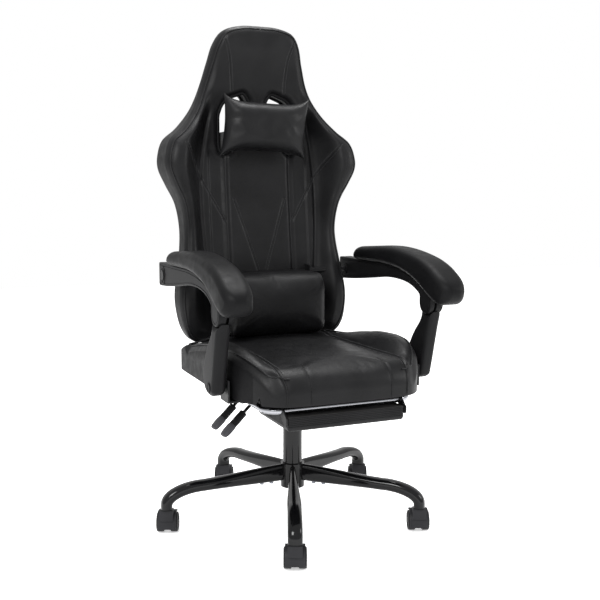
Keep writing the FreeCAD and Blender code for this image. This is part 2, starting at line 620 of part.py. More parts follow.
def slot_outline(inset):
    """One harness opening in x and z, smaller all round by the inset."""
    corners = ((20 + inset, 1098), (38 + inset, 1128 - inset), (112 - inset, 1103 - inset),
               (113 - inset, 985), (106 - inset, 961 + inset), (82 + inset, 961 + inset))
    return [to_xz(corner) for corner in corners]


def slot_prism(inset, lo, hi):
    spots = slot_outline(inset)
    face = Part.Face(Part.makePolygon(spots + [spots[0]]))
    face.translate(Y * lo)
    return face.extrude(Y * (hi - lo))


def leaned(shape):
    copy = shape.copy()
    copy.rotate(Vector(0, BACK_PLANE_Y, BACK_PLANE_Z), X, -BACK_LEAN)
    return copy


def back_frame_solid():
    """A flat ladder of bars inside the backrest, leaning with the centre panel."""
    lo = BACK_PLANE_Y + BACK_FRAME_SETBACK
    deep = (lo, lo + BACK_FRAME_DEPTH)
    inner = BACK_FRAME_RAIL_X
    outer = inner + BACK_FRAME_RAIL
    frame = box((inner, outer), deep, (BACK_FRAME_BOTTOM, BACK_FRAME_TOP))
    frame = frame.fuse(mirrored(frame))
    for z in (BRACKET_TOP + 6, ARM_REAR_PIVOT[1] + 40, BACK_FRAME_TOP - BACK_FRAME_RAIL):
        frame = frame.fuse(box((-inner, inner), deep, (z, z + BACK_FRAME_RAIL)))
    return leaned(frame).removeSplitter()


def recline_bracket():
    y, z = HINGE
    front = back_plane(BRACKET_TOP) + BACK_FRAME_SETBACK
    x = EAR_X + PLATE + HINGE_SIDE_GAP
    low_front = back_plane(500) + BACK_FRAME_SETBACK - 10
    plate = side_plate([(y - 14, z - 4), (y - 6, z - 14), (y + 6, z - 14), (y + 14, z - 4),
                        (low_front + 32, 480), (front + BACK_FRAME_DEPTH, BRACKET_TOP), (front, BRACKET_TOP),
                        (low_front, 480), (y - 13, z + 8)], x, x + PLATE)
    return plate.cut(rod_x(HINGE, 0, 200, HINGE_SHAFT_RADIUS + RUNNING_FIT))


def arm_pivot():
    y, z = ARM_REAR_PIVOT
    x = BACK_FRAME_RAIL_X + BACK_FRAME_RAIL
    back = back_plane(z) + BACK_FRAME_SETBACK + BACK_FRAME_DEPTH
    plate = side_plate([(y - 12, z - 12), (back - 2, z - 18), (back - 2, z + 18), (y - 12, z + 12)],
                       x, x + PLATE)
    pin = rod_x(ARM_REAR_PIVOT, x + 1, ARM_OUTER + 1, ARM_PIN_RADIUS)
    collar = rod_x(ARM_REAR_PIVOT, ARM_INNER - 4, ARM_INNER - 1, 2 * ARM_PIN_RADIUS)
    cap = rod_x(ARM_REAR_PIVOT, ARM_OUTER + 0.5, ARM_OUTER + 3.5, 2 * ARM_PIN_RADIUS)
    return plate.fuse(pin).fuse(collar).fuse(cap).removeSplitter()


def back_outline_half():
    """Half of the backrest's outline as x at each height, widest at the wings."""
    return [(150, 451), (206, 457), (232, 490), (243, 545), (243, 590), (234, 644), (224, 705),
            (222, 765), (232, 825), (256, 875), (273, 915), (274, 950), (260, 992), (224, 1024),
            (191, 1064), (170, 1102), (152, 1150), (137, 1200), (122, 1250), (98, 1284), (52, 1298)]


def back_cushion_solid():
    right = back_outline_half()
    left = [(-x, z) for x, z in reversed(right)]
    outline = prism([
        edge_through([(-150, 451), (150, 451)], to_xz),
        edge_through(right, to_xz),
        edge_through([(52, 1298), (0, 1300), (-52, 1298)], to_xz),
        edge_through(left, to_xz),
    ], 100, 340, Y)
    front = [(195, 440), (178, 500), (169, 573), (182, 660), (197, 760), (186, 850), (169, 933),
             (186, 1010), (216, 1064), (240, 1122), (233, 1200), (217, 1265), (212, 1310)]
    rear = [(262, 1310), (280, 1265), (294, 1190), (301, 1090), (301, 960), (287, 810), (264, 630),
            (242, 490), (226, 440)]
    side = prism([
        edge_through(front, to_yz),
        edge_through([front[-1], rear[0]], to_yz),
        edge_through(rear, to_yz),
        edge_through([rear[-1], front[0]], to_yz),
    ], -300, 300, X)
    top = BACK_CHANNEL_TOP
    channel = side_plate([(100, 430), (back_plane(430), 430), (back_plane(945), 945),
                          (244, top), (100, top)], -BACK_CHANNEL_HALF_WIDTH, BACK_CHANNEL_HALF_WIDTH)
    return outline.common(side).cut(channel)


def make_backrest():
    whole = back_cushion_solid()
    frame = back_frame_solid()
    bracket = recline_bracket()
    pivot = arm_pivot()
    trims = []
    cushion = whole
    hole = slot_prism(0, 150, 340)
    bore = slot_prism(TRIM_WALL, 150, 340)
    for outer, inner in zip(both_sides(hole), both_sides(bore)):
        trims.append(whole.common(outer).cut(inner))
        cushion = cushion.cut(outer)
    for piece in [frame] + both_sides(bracket) + both_sides(pivot):
        cushion = cushion.cut(piece)
    save("back_cushion", cushion.removeSplitter())
    save("harness_slot_trims", *trims)
    save("back_frame", frame)
    save("recline_brackets", *both_sides(bracket))
    save("armrest_pivots", *both_sides(pivot))


def make_pillows():
    low = HEAD_PILLOW_BOTTOM
    high = HEAD_PILLOW_TOP
    front = HEAD_PILLOW_FRONT
    back = HEAD_PILLOW_BACK
    pillow = side_plate([(back, low + 8), (back, high - 8), (back - 44, high), (front + 18, high - 26),
                         (front, high - 62), (front, low + 52), (front + 22, low + 20),
                         (back - 44, low)], -HEAD_PILLOW_HALF_WIDTH, HEAD_PILLOW_HALF_WIDTH)
    save("head_pillow", pillow)
    inner = STRAP_X - STRAP_THICKNESS
    tall = (STRAP_BOTTOM, STRAP_BOTTOM + STRAP_WIDTH)
    leg = box((inner, STRAP_X), (back, STRAP_BACK + STRAP_THICKNESS), tall)
    across = box((-inner, inner), (STRAP_BACK, STRAP_BACK + STRAP_THICKNESS), tall)
    save("head_pillow_strap", leg.fuse(mirrored(leg)).fuse(across).removeSplitter())
    low = LUMBAR_BOTTOM
    high = LUMBAR_TOP
    rest = [(back_plane(z) - SOFT_GAP, z) for z in (low + 10, high - 10)]
    lumbar = side_plate([rest[0], rest[1], (rest[1][0] - 40, high), (100, high - 8), (74, high - 34),
                         (66, high - 84), (72, low + 24), (92, low + 4), (140, low)],
                        -LUMBAR_HALF_WIDTH, LUMBAR_HALF_WIDTH)
    save("lumbar_pillow", lumbar)


# ---- armrests ----
def arm_seam():
    """The line on which the pad sits on the arm, in y and z, from the front to the rear."""
    return [(-270, 607), (-232, 628), (-192, 645), (-130, 661), (-64, 669), (10, 671), (120, 670)]


def make_armrests():
    y, z = ARM_FRONT_PIVOT
    r = KNUCKLE_RADIUS
    frame = prism([
        edge_through(arm_seam(), to_yz),
        edge_through([(120, 670), (238, 670)], to_yz),
        edge_through([(238, 670), (238, 608)], to_yz),
        edge_through([(238, 608), (140, 614), (40, 625), (-40, 634), (-110, 634), (-170, 624),
                      (y + r, 606)], to_yz),
        edge_through([(y + r, 606), (y + r, z)], to_yz),
        arc((y, z), r, 0, -180, to_yz),
        edge_through([(y - r, z), (y - r, 600)], to_yz),
        edge_through([(y - r, 600), (-270, 607)], to_yz),
    ], ARM_INNER, ARM_OUTER, X)
    middle = (ARM_INNER + ARM_OUTER) / 2
    slot = TONGUE_HALF + TONGUE_SIDE_GAP
    frame = frame.cut(box((middle - slot, middle + slot), (y - 60, y + 60), (z - 60, z + TONGUE_RADIUS + 4)))
    front_pin = rod_x(ARM_FRONT_PIVOT, ARM_INNER + 3, ARM_OUTER - 3, FRONT_PIN_RADIUS)
    frame = frame.cut(front_pin)
    frame = frame.cut(rod_x(ARM_REAR_PIVOT, ARM_INNER - 1, ARM_OUTER + 1, ARM_PIN_RADIUS + RUNNING_FIT))
    pad = prism([
        edge_through(arm_seam(), to_yz),
        edge_through([(120, 670), (125, 684)], to_yz),
        edge_through([(125, 684), (112, 700), (70, 709), (0, 714), (-95, 716), (-190, 706),
                      (-262, 689), (-318, 661), (-350, 626), (-338, 602), (-300, 595)], to_yz),
        edge_through([(-300, 595), (-270, 607)], to_yz),
    ], PAD_INNER, PAD_OUTER, X)
    post = prism([
        edge_through([(y - 26, z - 9), (y - 2, 500), (-222, 440), (-212, 405)], to_yz),
        edge_through([(-212, 405), (-196, 396), (-168, 396), (-148, 408), (-139, 445), (-152, 480),
                      (-180, 520), (y + 30, z - 38), (y + 26, z - 9)], to_yz),
        edge_through([(y + 26, z - 9), (y - 26, z - 9)], to_yz),
    ], POST_INNER, POST_OUTER, X)
    post = post.cut(rod_x(ARM_FRONT_PIVOT, POST_INNER - 1, POST_OUTER + 1, SHOULDER_RADIUS))
    tongue = rod_x(ARM_FRONT_PIVOT, middle - TONGUE_HALF, middle + TONGUE_HALF, TONGUE_RADIUS)
    neck = box((middle - TONGUE_HALF, middle + TONGUE_HALF), (y - 12, y + 14), (z - 44, z))
    post = post.fuse(tongue).fuse(neck)
    post = post.cut(rod_x(ARM_FRONT_PIVOT, 0, 400, FRONT_PIN_RADIUS + OPEN_PIVOT_GAP))
    post = post.cut(rod_x(POST_PIVOT, 0, POST_OUTER - 7, POST_PIN_RADIUS + RUNNING_FIT)).removeSplitter()
    for side, place in (("left", lambda shape: shape), ("right", mirrored)):
        save("arm_frame_" + side, place(frame))
        save("arm_pad_" + side, place(pad))
        save("arm_front_pin_" + side, place(front_pin))
        save("arm_post_" + side, place(post))


make_base()
make_lift()
make_seat_frame(make_mechanism())
make_seat_cushion()
make_seat_brackets()
make_footrest()
make_backrest()
make_pillows()
make_armrests()
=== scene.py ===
"""Finished model of a racing-style office chair, built over its CAD frame.

The seat faces -Y, the floor is at Z = 0 and the sitter's right hand is at -X. Lengths in the code are in
millimetres unless a name says otherwise, and each mesh is written in metres.
"""

import math

import bmesh
import bpy
import numpy as np
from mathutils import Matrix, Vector, noise


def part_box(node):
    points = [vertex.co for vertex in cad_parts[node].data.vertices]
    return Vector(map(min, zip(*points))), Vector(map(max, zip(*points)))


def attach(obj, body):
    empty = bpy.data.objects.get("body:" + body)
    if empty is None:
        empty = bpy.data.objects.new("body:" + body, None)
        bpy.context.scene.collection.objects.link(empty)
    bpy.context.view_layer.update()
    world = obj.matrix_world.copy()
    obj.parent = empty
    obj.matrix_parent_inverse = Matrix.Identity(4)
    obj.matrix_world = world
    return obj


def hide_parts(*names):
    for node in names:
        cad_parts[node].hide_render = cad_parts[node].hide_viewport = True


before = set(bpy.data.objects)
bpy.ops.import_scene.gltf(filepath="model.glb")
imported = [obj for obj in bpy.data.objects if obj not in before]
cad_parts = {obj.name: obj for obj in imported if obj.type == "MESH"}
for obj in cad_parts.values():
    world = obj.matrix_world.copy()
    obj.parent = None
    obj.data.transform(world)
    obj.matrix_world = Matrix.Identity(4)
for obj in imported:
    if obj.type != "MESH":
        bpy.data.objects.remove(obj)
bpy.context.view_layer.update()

bl_info = {
    "name": "Racing Chair Finisher",
    "version": (1, 0, 0),
    "blender": (4, 5, 0),
    "location": "3D View > Sidebar > Chair",
    "description": "Upholstery, mouldings, casters and finishes for a racing-style office chair",
    "category": "Object",
}

MM = 0.001
SIDES = (("left", 1), ("right", -1))


# ---------------------------------------------------------------- small tools
def linear(code):
    """Linear RGBA of an sRGB hex colour."""
    values = [int(code[i:i + 2], 16) / 255 for i in (1, 3, 5)]
    return tuple(v / 12.92 if v <= 0.04045 else ((v + 0.055) / 1.055) ** 2.4 for v in values) + (1.0,)


def add_node(tree, kind, inputs=None, **settings):
    """Add a node with its settings, and give each named input a value or a link."""
    node = tree.nodes.new(kind)
    for key, value in settings.items():
        setattr(node, key, value)
    for key, value in (inputs or {}).items():
        if isinstance(value, bpy.types.NodeSocket):
            tree.links.new(value, node.inputs[key])
        else:
            node.inputs[key].default_value = value
    return node


def smoothstep(value, low, high):
    t = np.clip((value - low) / (high - low), 0, 1)
    return t * t * (3 - 2 * t)


def through(points, at):
    """Value at each place of a smooth curve through (place, value) points."""
    places = np.array([p[0] for p in points], float)
    values = np.array([p[1] for p in points], float)
    slopes = np.gradient(values, places)
    at = np.clip(np.asarray(at, float), places[0], places[-1])
    i = np.clip(np.searchsorted(places, at) - 1, 0, len(places) - 2)
    step = places[i + 1] - places[i]
    t = (at - places[i]) / step
    return ((1 + 2 * t) * (1 - t) ** 2 * values[i] + t * (1 - t) ** 2 * step * slopes[i]
            + t * t * (3 - 2 * t) * values[i + 1] + t * t * (t - 1) * step * slopes[i + 1])


def lengths_along(points):
    return np.concatenate([[0], np.cumsum(np.linalg.norm(np.diff(points, axis=0), axis=1))])


def at_shares(points, shares):
    """Points of a polyline at shares of its length."""
    points = np.asarray(points, float)
    run = lengths_along(points)
    return np.stack([np.interp(np.asarray(shares) * run[-1], run, points[:, k])
                     for k in range(points.shape[1])], 1)


def smooth_line(points, spacing=3.0, closed=False):
    """A Catmull-Rom curve through the points, at an even spacing."""
    p = np.asarray(points, float)
    if closed:
        p = np.vstack([p[-1:], p, p[:2]])
    else:
        p = np.vstack([2 * p[0] - p[1], p, 2 * p[-1] - p[-2]])
    t = np.linspace(0, 1, 16, endpoint=False)[:, None]
    parts = []
    for a, b, c, d in zip(p, p[1:], p[2:], p[3:]):
        parts.append(0.5 * (2 * b + (c - a) * t + (2 * a - 5 * b + 4 * c - d) * t ** 2
                            + (3 * b - a - 3 * c + d) * t ** 3))
    line = np.vstack(parts + [p[-2:-1]])
    count = max(4, int(round(lengths_along(line)[-1] / spacing)))
    line = at_shares(line, np.linspace(0, 1, count + 1))
    return line[:-1] if closed else line


def softened(outline, reach, spacing=2.0):
    """A closed outline at an even spacing, with its corners rounded over about the reach."""
    closed = np.vstack([outline, outline[:1]])
    count = int(round(lengths_along(closed)[-1] / spacing))
    line = at_shares(closed, np.linspace(0, 1, count + 1))[:-1]
    for _ in range(int((reach / spacing) ** 2)):
        line = 0.5 * line + 0.25 * (np.roll(line, 1, 0) + np.roll(line, -1, 0))
    return line


def counter_clockwise(outline):
    x, y = outline[:, 0], outline[:, 1]
    area = np.sum(x * np.roll(y, -1) - np.roll(x, -1) * y)
    return outline if area > 0 else outline[::-1]


def outward(outline):
    """Outward unit normals of a closed counter-clockwise outline."""
    run = np.roll(outline, -1, 0) - np.roll(outline, 1, 0)
    run /= np.linalg.norm(run, axis=1)[:, None]
    return np.stack([run[:, 1], -run[:, 0]], 1)


def distance_to(line, x, y):
    """Distance in a plane from each point to a polyline."""
    flat = np.stack([np.ravel(x), np.ravel(y)], 1)
    best = np.full(len(flat), 1e9)
    for a, b in zip(line, line[1:]):
        run = b - a
        t = np.clip((flat - a) @ run / max(run @ run, 1e-9), 0, 1)
        best = np.minimum(best, np.hypot(*(flat - a - t[:, None] * run).T))
    return best.reshape(np.shape(x))


def dip(gap, width):
    """Cross-section of a sewn channel, 1 at its middle."""
    return np.exp(-(gap / width) ** 2)


def rolled(gap, radius):
    """How far a rounded edge falls back at this distance from the outline."""
    left = np.clip(1 - gap / radius, 0, 1)
    return radius * (1 - np.sqrt(1 - left ** 2))


def ripple(x, y, size, seed):
    """Gentle unevenness from -1 to 1 with features of about this size."""
    spots = zip(np.ravel(x) / size, np.ravel(y) / size)
    return np.array([noise.noise(Vector((a, b, seed))) for a, b in spots]).reshape(np.shape(x))


# ---------------------------------------------------------------- mesh tools
def new_piece(name, vertices, faces, sharp=40, mend=True):
    """A mesh object from points in millimetres, smooth apart from edges sharper than the angle."""
    mesh = bpy.data.meshes.new(name)
    mesh.from_pydata((np.asarray(vertices, float) * MM).tolist(), [], faces)
    obj = bpy.data.objects.new(name, mesh)
    bpy.context.scene.collection.objects.link(obj)
    if mend:
        work = bmesh.new()
        work.from_mesh(mesh)
        bmesh.ops.remove_doubles(work, verts=work.verts, dist=1e-6)
        bmesh.ops.recalc_face_normals(work, faces=work.faces)
        work.to_mesh(mesh)
        work.free()
    smooth(obj, sharp)
    return obj


def smooth(obj, sharp=40):
    obj.data.shade_smooth()
    obj.data.set_sharp_from_angle(angle=math.radians(sharp))


def settled(obj):
    """Replace an object's mesh by its evaluated one, and drop its modifiers."""
    bpy.context.view_layer.update()
    graph = bpy.context.evaluated_depsgraph_get()
    mesh = bpy.data.meshes.new_from_object(obj.evaluated_get(graph), depsgraph=graph)
    obj.modifiers.clear()
    obj.data = mesh
    mesh.name = obj.name
    return obj


def with_modifier(obj, kind, **settings):
    modifier = obj.modifiers.new(kind.title(), kind)
    for key, value in settings.items():
        setattr(modifier, key, value)
    return settled(obj)


def joined(name, pieces):
    """One object from several, each part keeping its own closed surface."""
    first = pieces[0]
    work = bmesh.new()
    for piece in pieces:
        work.from_mesh(piece.data)
    mesh = bpy.data.meshes.new(name)
    work.to_mesh(mesh)
    work.free()
    for piece in pieces[1:]:
        bpy.data.objects.remove(piece)
    first.data = mesh
    first.name = name
    smooth(first)
    return first


def mirrored(name, obj):
    """A copy of a piece on the other side of the chair."""
    work = bmesh.new()
    work.from_mesh(obj.data)
    for vert in work.verts:
        vert.co.x = -vert.co.x
    bmesh.ops.reverse_faces(work, faces=work.faces)
    mesh = bpy.data.meshes.new(name)
    work.to_mesh(mesh)
    work.free()
    other = bpy.data.objects.new(name, mesh)
    bpy.context.scene.collection.objects.link(other)
    return other


def finish(obj, body, slot, material, *nodes, fill=None):
    """Give a piece its finish and the body it moves with, and hide the CAD nodes it stands for."""
    obj.data.materials.clear()
    obj.data.materials.append(material)
    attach(obj, body)
    if nodes:
        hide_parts(*nodes)
    return obj


def placed(axis, flat, along):
    """Points with two coordinates in a plane and one along an axis."""
    along = np.broadcast_to(along, flat.shape[:-1])
    first, second = flat[..., 0], flat[..., 1]
    order = {"X": (along, first, second), "Y": (first, along, second), "Z": (first, second, along)}
    return np.stack(order[axis], -1)


def drawn_in(outline, inset):
    """A closed outline moved inwards, with the loops this makes at tight corners drawn to a point."""
    line = outline - outward(outline) * inset
    if inset < 0.5:
        return line
    gap = np.hypot(*(line[:, None] - outline[None]).transpose(2, 0, 1)).min(1)
    good = np.nonzero(gap > inset - 0.3)[0]
    if len(good) < 8:
        return line
    away = np.abs(np.arange(len(line))[:, None] - good[None])
    return line[good[np.argmin(np.minimum(away, len(line) - away), axis=1)]]


def ringed(name, outline, rings, axis, sharp=40):
    """A solid with an outline that is inset and placed by each (inset, along) ring, closed by flat ends."""
    outline = counter_clockwise(np.asarray(outline, float))
    count = len(outline)
    points = np.vstack([placed(axis, drawn_in(outline, inset), along) for inset, along in rings])
    faces = []
    for k in range(len(rings) - 1):
        a, b = k * count, (k + 1) * count
        faces += [(a + i, a + (i + 1) % count, b + (i + 1) % count, b + i) for i in range(count)]
    faces.append(tuple(range(count))[::-1])
    faces.append(tuple(range((len(rings) - 1) * count, len(rings) * count)))
    return new_piece(name, points, faces, sharp)


def rounded_rings(lo, hi, radius, steps=5, extra=()):
    """Rings of a plate from lo to hi with rounded rims, and extra (inset, along) rings between."""
    turn = [math.pi / 2 * k / steps for k in range(steps + 1)]
    first = [(radius * (1 - math.sin(a)), lo + radius * (1 - math.cos(a))) for a in turn]
    last = [(inset, lo + hi - along) for inset, along in reversed(first)]
    return first + list(extra) + last


def turned_piece(name, profile, start, direction, segments=48, sharp=40):
    """A lathed solid: (radius, along) points turned round a line that leaves start in a direction."""
    aim = Vector(direction).normalized()
    side = aim.orthogonal().normalized()
    up = aim.cross(side)
    origin = Vector(start)
    points, faces = [], []
    for radius, along in profile:
        for k in range(segments):
            a = 2 * math.pi * k / segments
            points.append(origin + aim * along + (side * math.cos(a) + up * math.sin(a)) * radius)
    for k in range(len(profile) - 1):
        a, b = k * segments, (k + 1) * segments
        faces += [(a + i, a + (i + 1) % segments, b + (i + 1) % segments, b + i) for i in range(segments)]
    faces.append(tuple(range(segments)))
    faces.append(tuple(range((len(profile) - 1) * segments, len(profile) * segments)))
    return new_piece(name, points, faces, sharp)


def lofted(name, sections, sharp=40):
    """A closed solid through cross-sections that have the same number of points."""
    count = len(sections[0])
    faces = []
    for k in range(len(sections) - 1):
        a, b = k * count, (k + 1) * count
        faces += [(a + i, a + (i + 1) % count, b + (i + 1) % count, b + i) for i in range(count)]
    faces.append(tuple(range(count)))
    faces.append(tuple(range((len(sections) - 1) * count, len(sections) * count)))
    return new_piece(name, np.vstack(sections), faces, sharp)


def cap_outline(node, axis, high=True):
    """The longest edge loop of a CAD node's flat end on one side, in millimetres."""
    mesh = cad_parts[node].data
    spots = np.array([v.co for v in mesh.vertices]) / MM
    k = "XYZ".index(axis)
    level = spots[:, k].max() if high else spots[:, k].min()
    keep = [i for i in range(3) if i != k]
    keys = [tuple(np.round(p, 3)) for p in spots]
    count = {}
    for polygon in mesh.polygons:
        if all(abs(spots[i, k] - level) < 0.01 for i in polygon.vertices):
            ring = [keys[i] for i in polygon.vertices]
            for a, b in zip(ring, ring[1:] + ring[:1]):
                count.setdefault(frozenset((a, b)), []).append((a, b))
    after = {}
    for uses in count.values():
        if len(uses) == 1:
            after.setdefault(uses[0][0], []).append(uses[0][1])
    loops = []
    while after:
        start = next(iter(after))
        loop, spot = [start], after.pop(start)[0]
        while spot != start and spot in after:
            loop.append(spot)
            spot = after.pop(spot)[0]
        loops.append(np.array(loop)[:, keep])
    loops = [loop for loop in loops if len(loop) > 3]
    return counter_clockwise(max(loops, key=lambda loop: lengths_along(loop)[-1]))


def eased_copy(name, node, width, sharp=30):
    """A copy of a rigid CAD node with its edges rounded as a moulding's or a weldment's are."""
    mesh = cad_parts[node].data.copy()
    obj = bpy.data.objects.new(name, mesh)
    bpy.context.scene.collection.objects.link(obj)
    work = bmesh.new()
    work.from_mesh(mesh)
    bmesh.ops.remove_doubles(work, verts=work.verts, dist=1e-6)
    bmesh.ops.dissolve_limit(work, angle_limit=math.radians(1), verts=work.verts, edges=work.edges)
    work.to_mesh(mesh)
    work.free()
    with_modifier(obj, "BEVEL", width=width * MM, segments=2, limit_method="ANGLE",
                  angle_limit=math.radians(sharp), harden_normals=False)
    smooth(obj, sharp)
    return obj


# ---------------------------------------------------------------- padded shells
def edge_shares(count, margin, steps, both=False):
    """Shares from 0 to 1, close together where an edge rolls over."""
    tail = 1 - margin * (1 - np.sin(np.linspace(0, math.pi / 2, steps + 1)))
    if both:
        middle = np.linspace(margin, 1 - margin, count)
        return np.concatenate([(1 - tail)[::-1], middle[1:-1], tail])
    return np.concatenate([np.linspace(0, 1 - margin, count)[:-1], tail])


def patch(centre, side, near, far, across, along):
    """Half a cushion's plan: a grid fitted between its centre line, its side and its two ends."""
    c = at_shares(centre, along)[:, None]
    e = at_shares(side, along)[:, None]
    n = at_shares(near, across)[None]
    f = at_shares(far, across)[None]
    u = across[None, :, None]
    v = along[:, None, None]
    corners = ((1 - u) * (1 - v) * n[:, :1] + (1 - u) * v * f[:, :1]
               + u * (1 - v) * n[:, -1:] + u * v * f[:, -1:])
    return (1 - v) * n + v * f + (1 - u) * c + u * e - corners


class Shell:
    """A closed padded form: a face, a back and a band between them, on one mirrored grid."""

    def __init__(self, half, face, back, axis, band=8, holes=()):
        full = np.concatenate([half[:, :0:-1] * (-1, 1), half], axis=1)
        self.rows, self.columns = full.shape[:2]
        size = self.rows * self.columns
        self.plan = full
        number = np.arange(size).reshape(self.rows, self.columns)
        rim = np.concatenate([number[0, :-1], number[:-1, -1], number[-1, :0:-1], number[:0:-1, 0]])
        top = placed(axis, full, face(full[..., 0], full[..., 1])).reshape(-1, 3)
        low = placed(axis, full, back(full[..., 0], full[..., 1])).reshape(-1, 3)
        corners = [number[:-1, :-1], number[:-1, 1:], number[1:, 1:], number[1:, :-1]]
        quads = np.stack(corners, -1).reshape(-1, 4)
        points = [top, low]
        walls = []
        if holes:
            flat = full.reshape(-1, 2)
            middle = flat[quads].mean(1)
            gone = np.zeros(len(quads), bool)
            for outline in holes:
                inside = inside_of(outline, middle)
                edges = hole_edges(quads[inside & ~gone])
                gone |= inside
                for a, b in edges:
                    walls.append((a, b, b + size, a + size))
                for i in {i for edge in edges for i in edge}:
                    spot = nearest_on(outline, flat[i])
                    top[i] = placed(axis, spot, top[i]["XYZ".index(axis)])
                    low[i] = placed(axis, spot, low[i]["XYZ".index(axis)])
            quads = quads[~gone]
        faces = [tuple(q) for q in quads] + [tuple(q[::-1] + size) for q in quads] + walls
        last = rim
        for k in range(1, band):
            share = k / band
            ring = top[rim] * (1 - share) + low[rim] * share
            start = 2 * size + (k - 1) * len(rim)
            points.append(ring)
            now = np.arange(start, start + len(rim))
            faces += self._ribbon(last, now)
            last = now
        faces += self._ribbon(last, rim + size)
        self.points = np.vstack(points)
        self.faces = faces
        self.size = size

    @staticmethod
    def _ribbon(a, b):
        return [(int(p), int(q), int(s), int(r))
                for p, q, r, s in zip(a, np.roll(a, -1), b, np.roll(b, -1))]

    def piece(self, name, sharp=60):
        used = np.zeros(len(self.points), bool)
        used[np.unique([i for f in self.faces for i in f])] = True
        number = np.cumsum(used) - 1
        faces = [tuple(int(number[i]) for i in f) for f in self.faces]
        return new_piece(name, self.points[used], faces, sharp)


def inside_of(outline, spots):
    x, y = spots[:, 0], spots[:, 1]
    inside = np.zeros(len(spots), bool)
    for (ax, ay), (bx, by) in zip(outline, np.roll(outline, -1, 0)):
        crosses = (ay > y) != (by > y)
        inside ^= crosses & (x < (bx - ax) * (y - ay) / (by - ay + 1e-12) + ax)
    return inside


def hole_edges(quads):
    count = {}
    for q in quads.tolist():
        for a, b in zip(q, q[1:] + q[:1]):
            key = (min(a, b), max(a, b))
            count.setdefault(key, []).append((a, b))
    return [uses[0] for uses in count.values() if len(uses) == 1]


def nearest_on(outline, spot):
    a = outline
    b = np.roll(outline, -1, 0)
    run = b - a
    t = np.clip(((spot - a) * run).sum(1) / (run * run).sum(1), 0, 1)
    near = a + t[:, None] * run
    return near[np.argmin(np.hypot(*(near - spot).T))]


def inflate(obj, held, pressure, frames, cap, tension=15.0):
    """Blow a padded piece up as cloth, hold it where held is 1, and limit how far it moves."""
    rest = np.array([v.co for v in obj.data.vertices])
    group = obj.vertex_groups.new(name="held")
    for level in range(11):
        picked = np.nonzero(np.round(held * 10) == level)[0].tolist()
        if picked and level:
            group.add(picked, level / 10, "REPLACE")
    cloth = obj.modifiers.new("Cloth", "CLOTH")
    cloth.settings.quality = 4
    cloth.settings.vertex_group_mass = "held"
    cloth.settings.tension_stiffness = tension
    cloth.settings.compression_stiffness = tension
    cloth.settings.shear_stiffness = tension / 2
    cloth.settings.bending_stiffness = 0.3
    cloth.settings.use_pressure = True
    cloth.settings.uniform_pressure_force = pressure
    cloth.settings.effector_weights.gravity = 0
    cloth.collision_settings.use_collision = False
    cloth.point_cache.frame_start = 1
    cloth.point_cache.frame_end = frames
    scene = bpy.context.scene
    for number in range(1, frames + 1):
        scene.frame_set(number)
    graph = bpy.context.evaluated_depsgraph_get()
    swollen = np.array([v.co for v in obj.evaluated_get(graph).data.vertices])
    move = swollen - rest
    far = np.linalg.norm(move, axis=1)
    move *= np.minimum(1, cap * MM / np.maximum(far, 1e-9))[:, None]
    obj.modifiers.clear()
    obj.vertex_groups.clear()
    scene.frame_set(1)
    obj.data.vertices.foreach_set("co", (rest + move).ravel())
    obj.data.update()
    return obj


# ---------------------------------------------------------------- node-made repeats
def node_tree(name, sockets):
    """An empty geometry node tree with a Geometry input and output and the named inputs."""
    tree = bpy.data.node_groups.new(name, "GeometryNodeTree")
    tree.interface.new_socket("Geometry", in_out="INPUT", socket_type="NodeSocketGeometry")
    tree.interface.new_socket("Geometry", in_out="OUTPUT", socket_type="NodeSocketGeometry")
    for label, kind in sockets:
        tree.interface.new_socket(label, in_out="INPUT", socket_type=kind)
    return tree, add_node(tree, "NodeGroupInput").outputs


def close_tree(tree, shape, material):
    whole = add_node(tree, "GeometryNodeRealizeInstances", {"Geometry": shape})
    dressed = add_node(tree, "GeometryNodeSetMaterial",
                       {"Geometry": whole.outputs[0], "Material": material})
    add_node(tree, "NodeGroupOutput", {"Geometry": dressed.outputs[0]})
    return tree


def stitch_tree():
    """Short lengths of thread laid end to end along sewn lines."""
    tree, given = node_tree("Stitches", [("Pitch", "NodeSocketFloat"), ("Length", "NodeSocketFloat"),
                                         ("Thread", "NodeSocketFloat"), ("Material", "NodeSocketMaterial")])
    line = add_node(tree, "GeometryNodeMeshToCurve", {"Mesh": given["Geometry"]})
    spots = add_node(tree, "GeometryNodeCurveToPoints", {"Curve": line.outputs[0], "Length": given["Pitch"]},
                     mode="LENGTH")
    thread = add_node(tree, "GeometryNodeMeshCylinder",
                      {"Vertices": 6, "Radius": given["Thread"], "Depth": given["Length"]})
    sewn = add_node(tree, "GeometryNodeInstanceOnPoints",
                    {"Points": spots.outputs["Points"], "Instance": thread.outputs["Mesh"],
                     "Rotation": spots.outputs["Rotation"]})
    return close_tree(tree, sewn.outputs[0], given["Material"])


def piping_tree():
    """A round cord swept along sewn lines."""
    tree, given = node_tree("Piping", [("Radius", "NodeSocketFloat"), ("Sides", "NodeSocketInt"),
                                       ("Material", "NodeSocketMaterial")])
    line = add_node(tree, "GeometryNodeMeshToCurve", {"Mesh": given["Geometry"]})
    ring = add_node(tree, "GeometryNodeCurvePrimitiveCircle",
                    {"Resolution": given["Sides"], "Radius": given["Radius"]})
    swept = add_node(tree, "GeometryNodeCurveToMesh",
                     {"Curve": line.outputs[0], "Profile Curve": ring.outputs[0], "Fill Caps": True})
    soft = add_node(tree, "GeometryNodeSetShadeSmooth", {"Geometry": swept.outputs[0]})
    return close_tree(tree, soft.outputs[0], given["Material"])


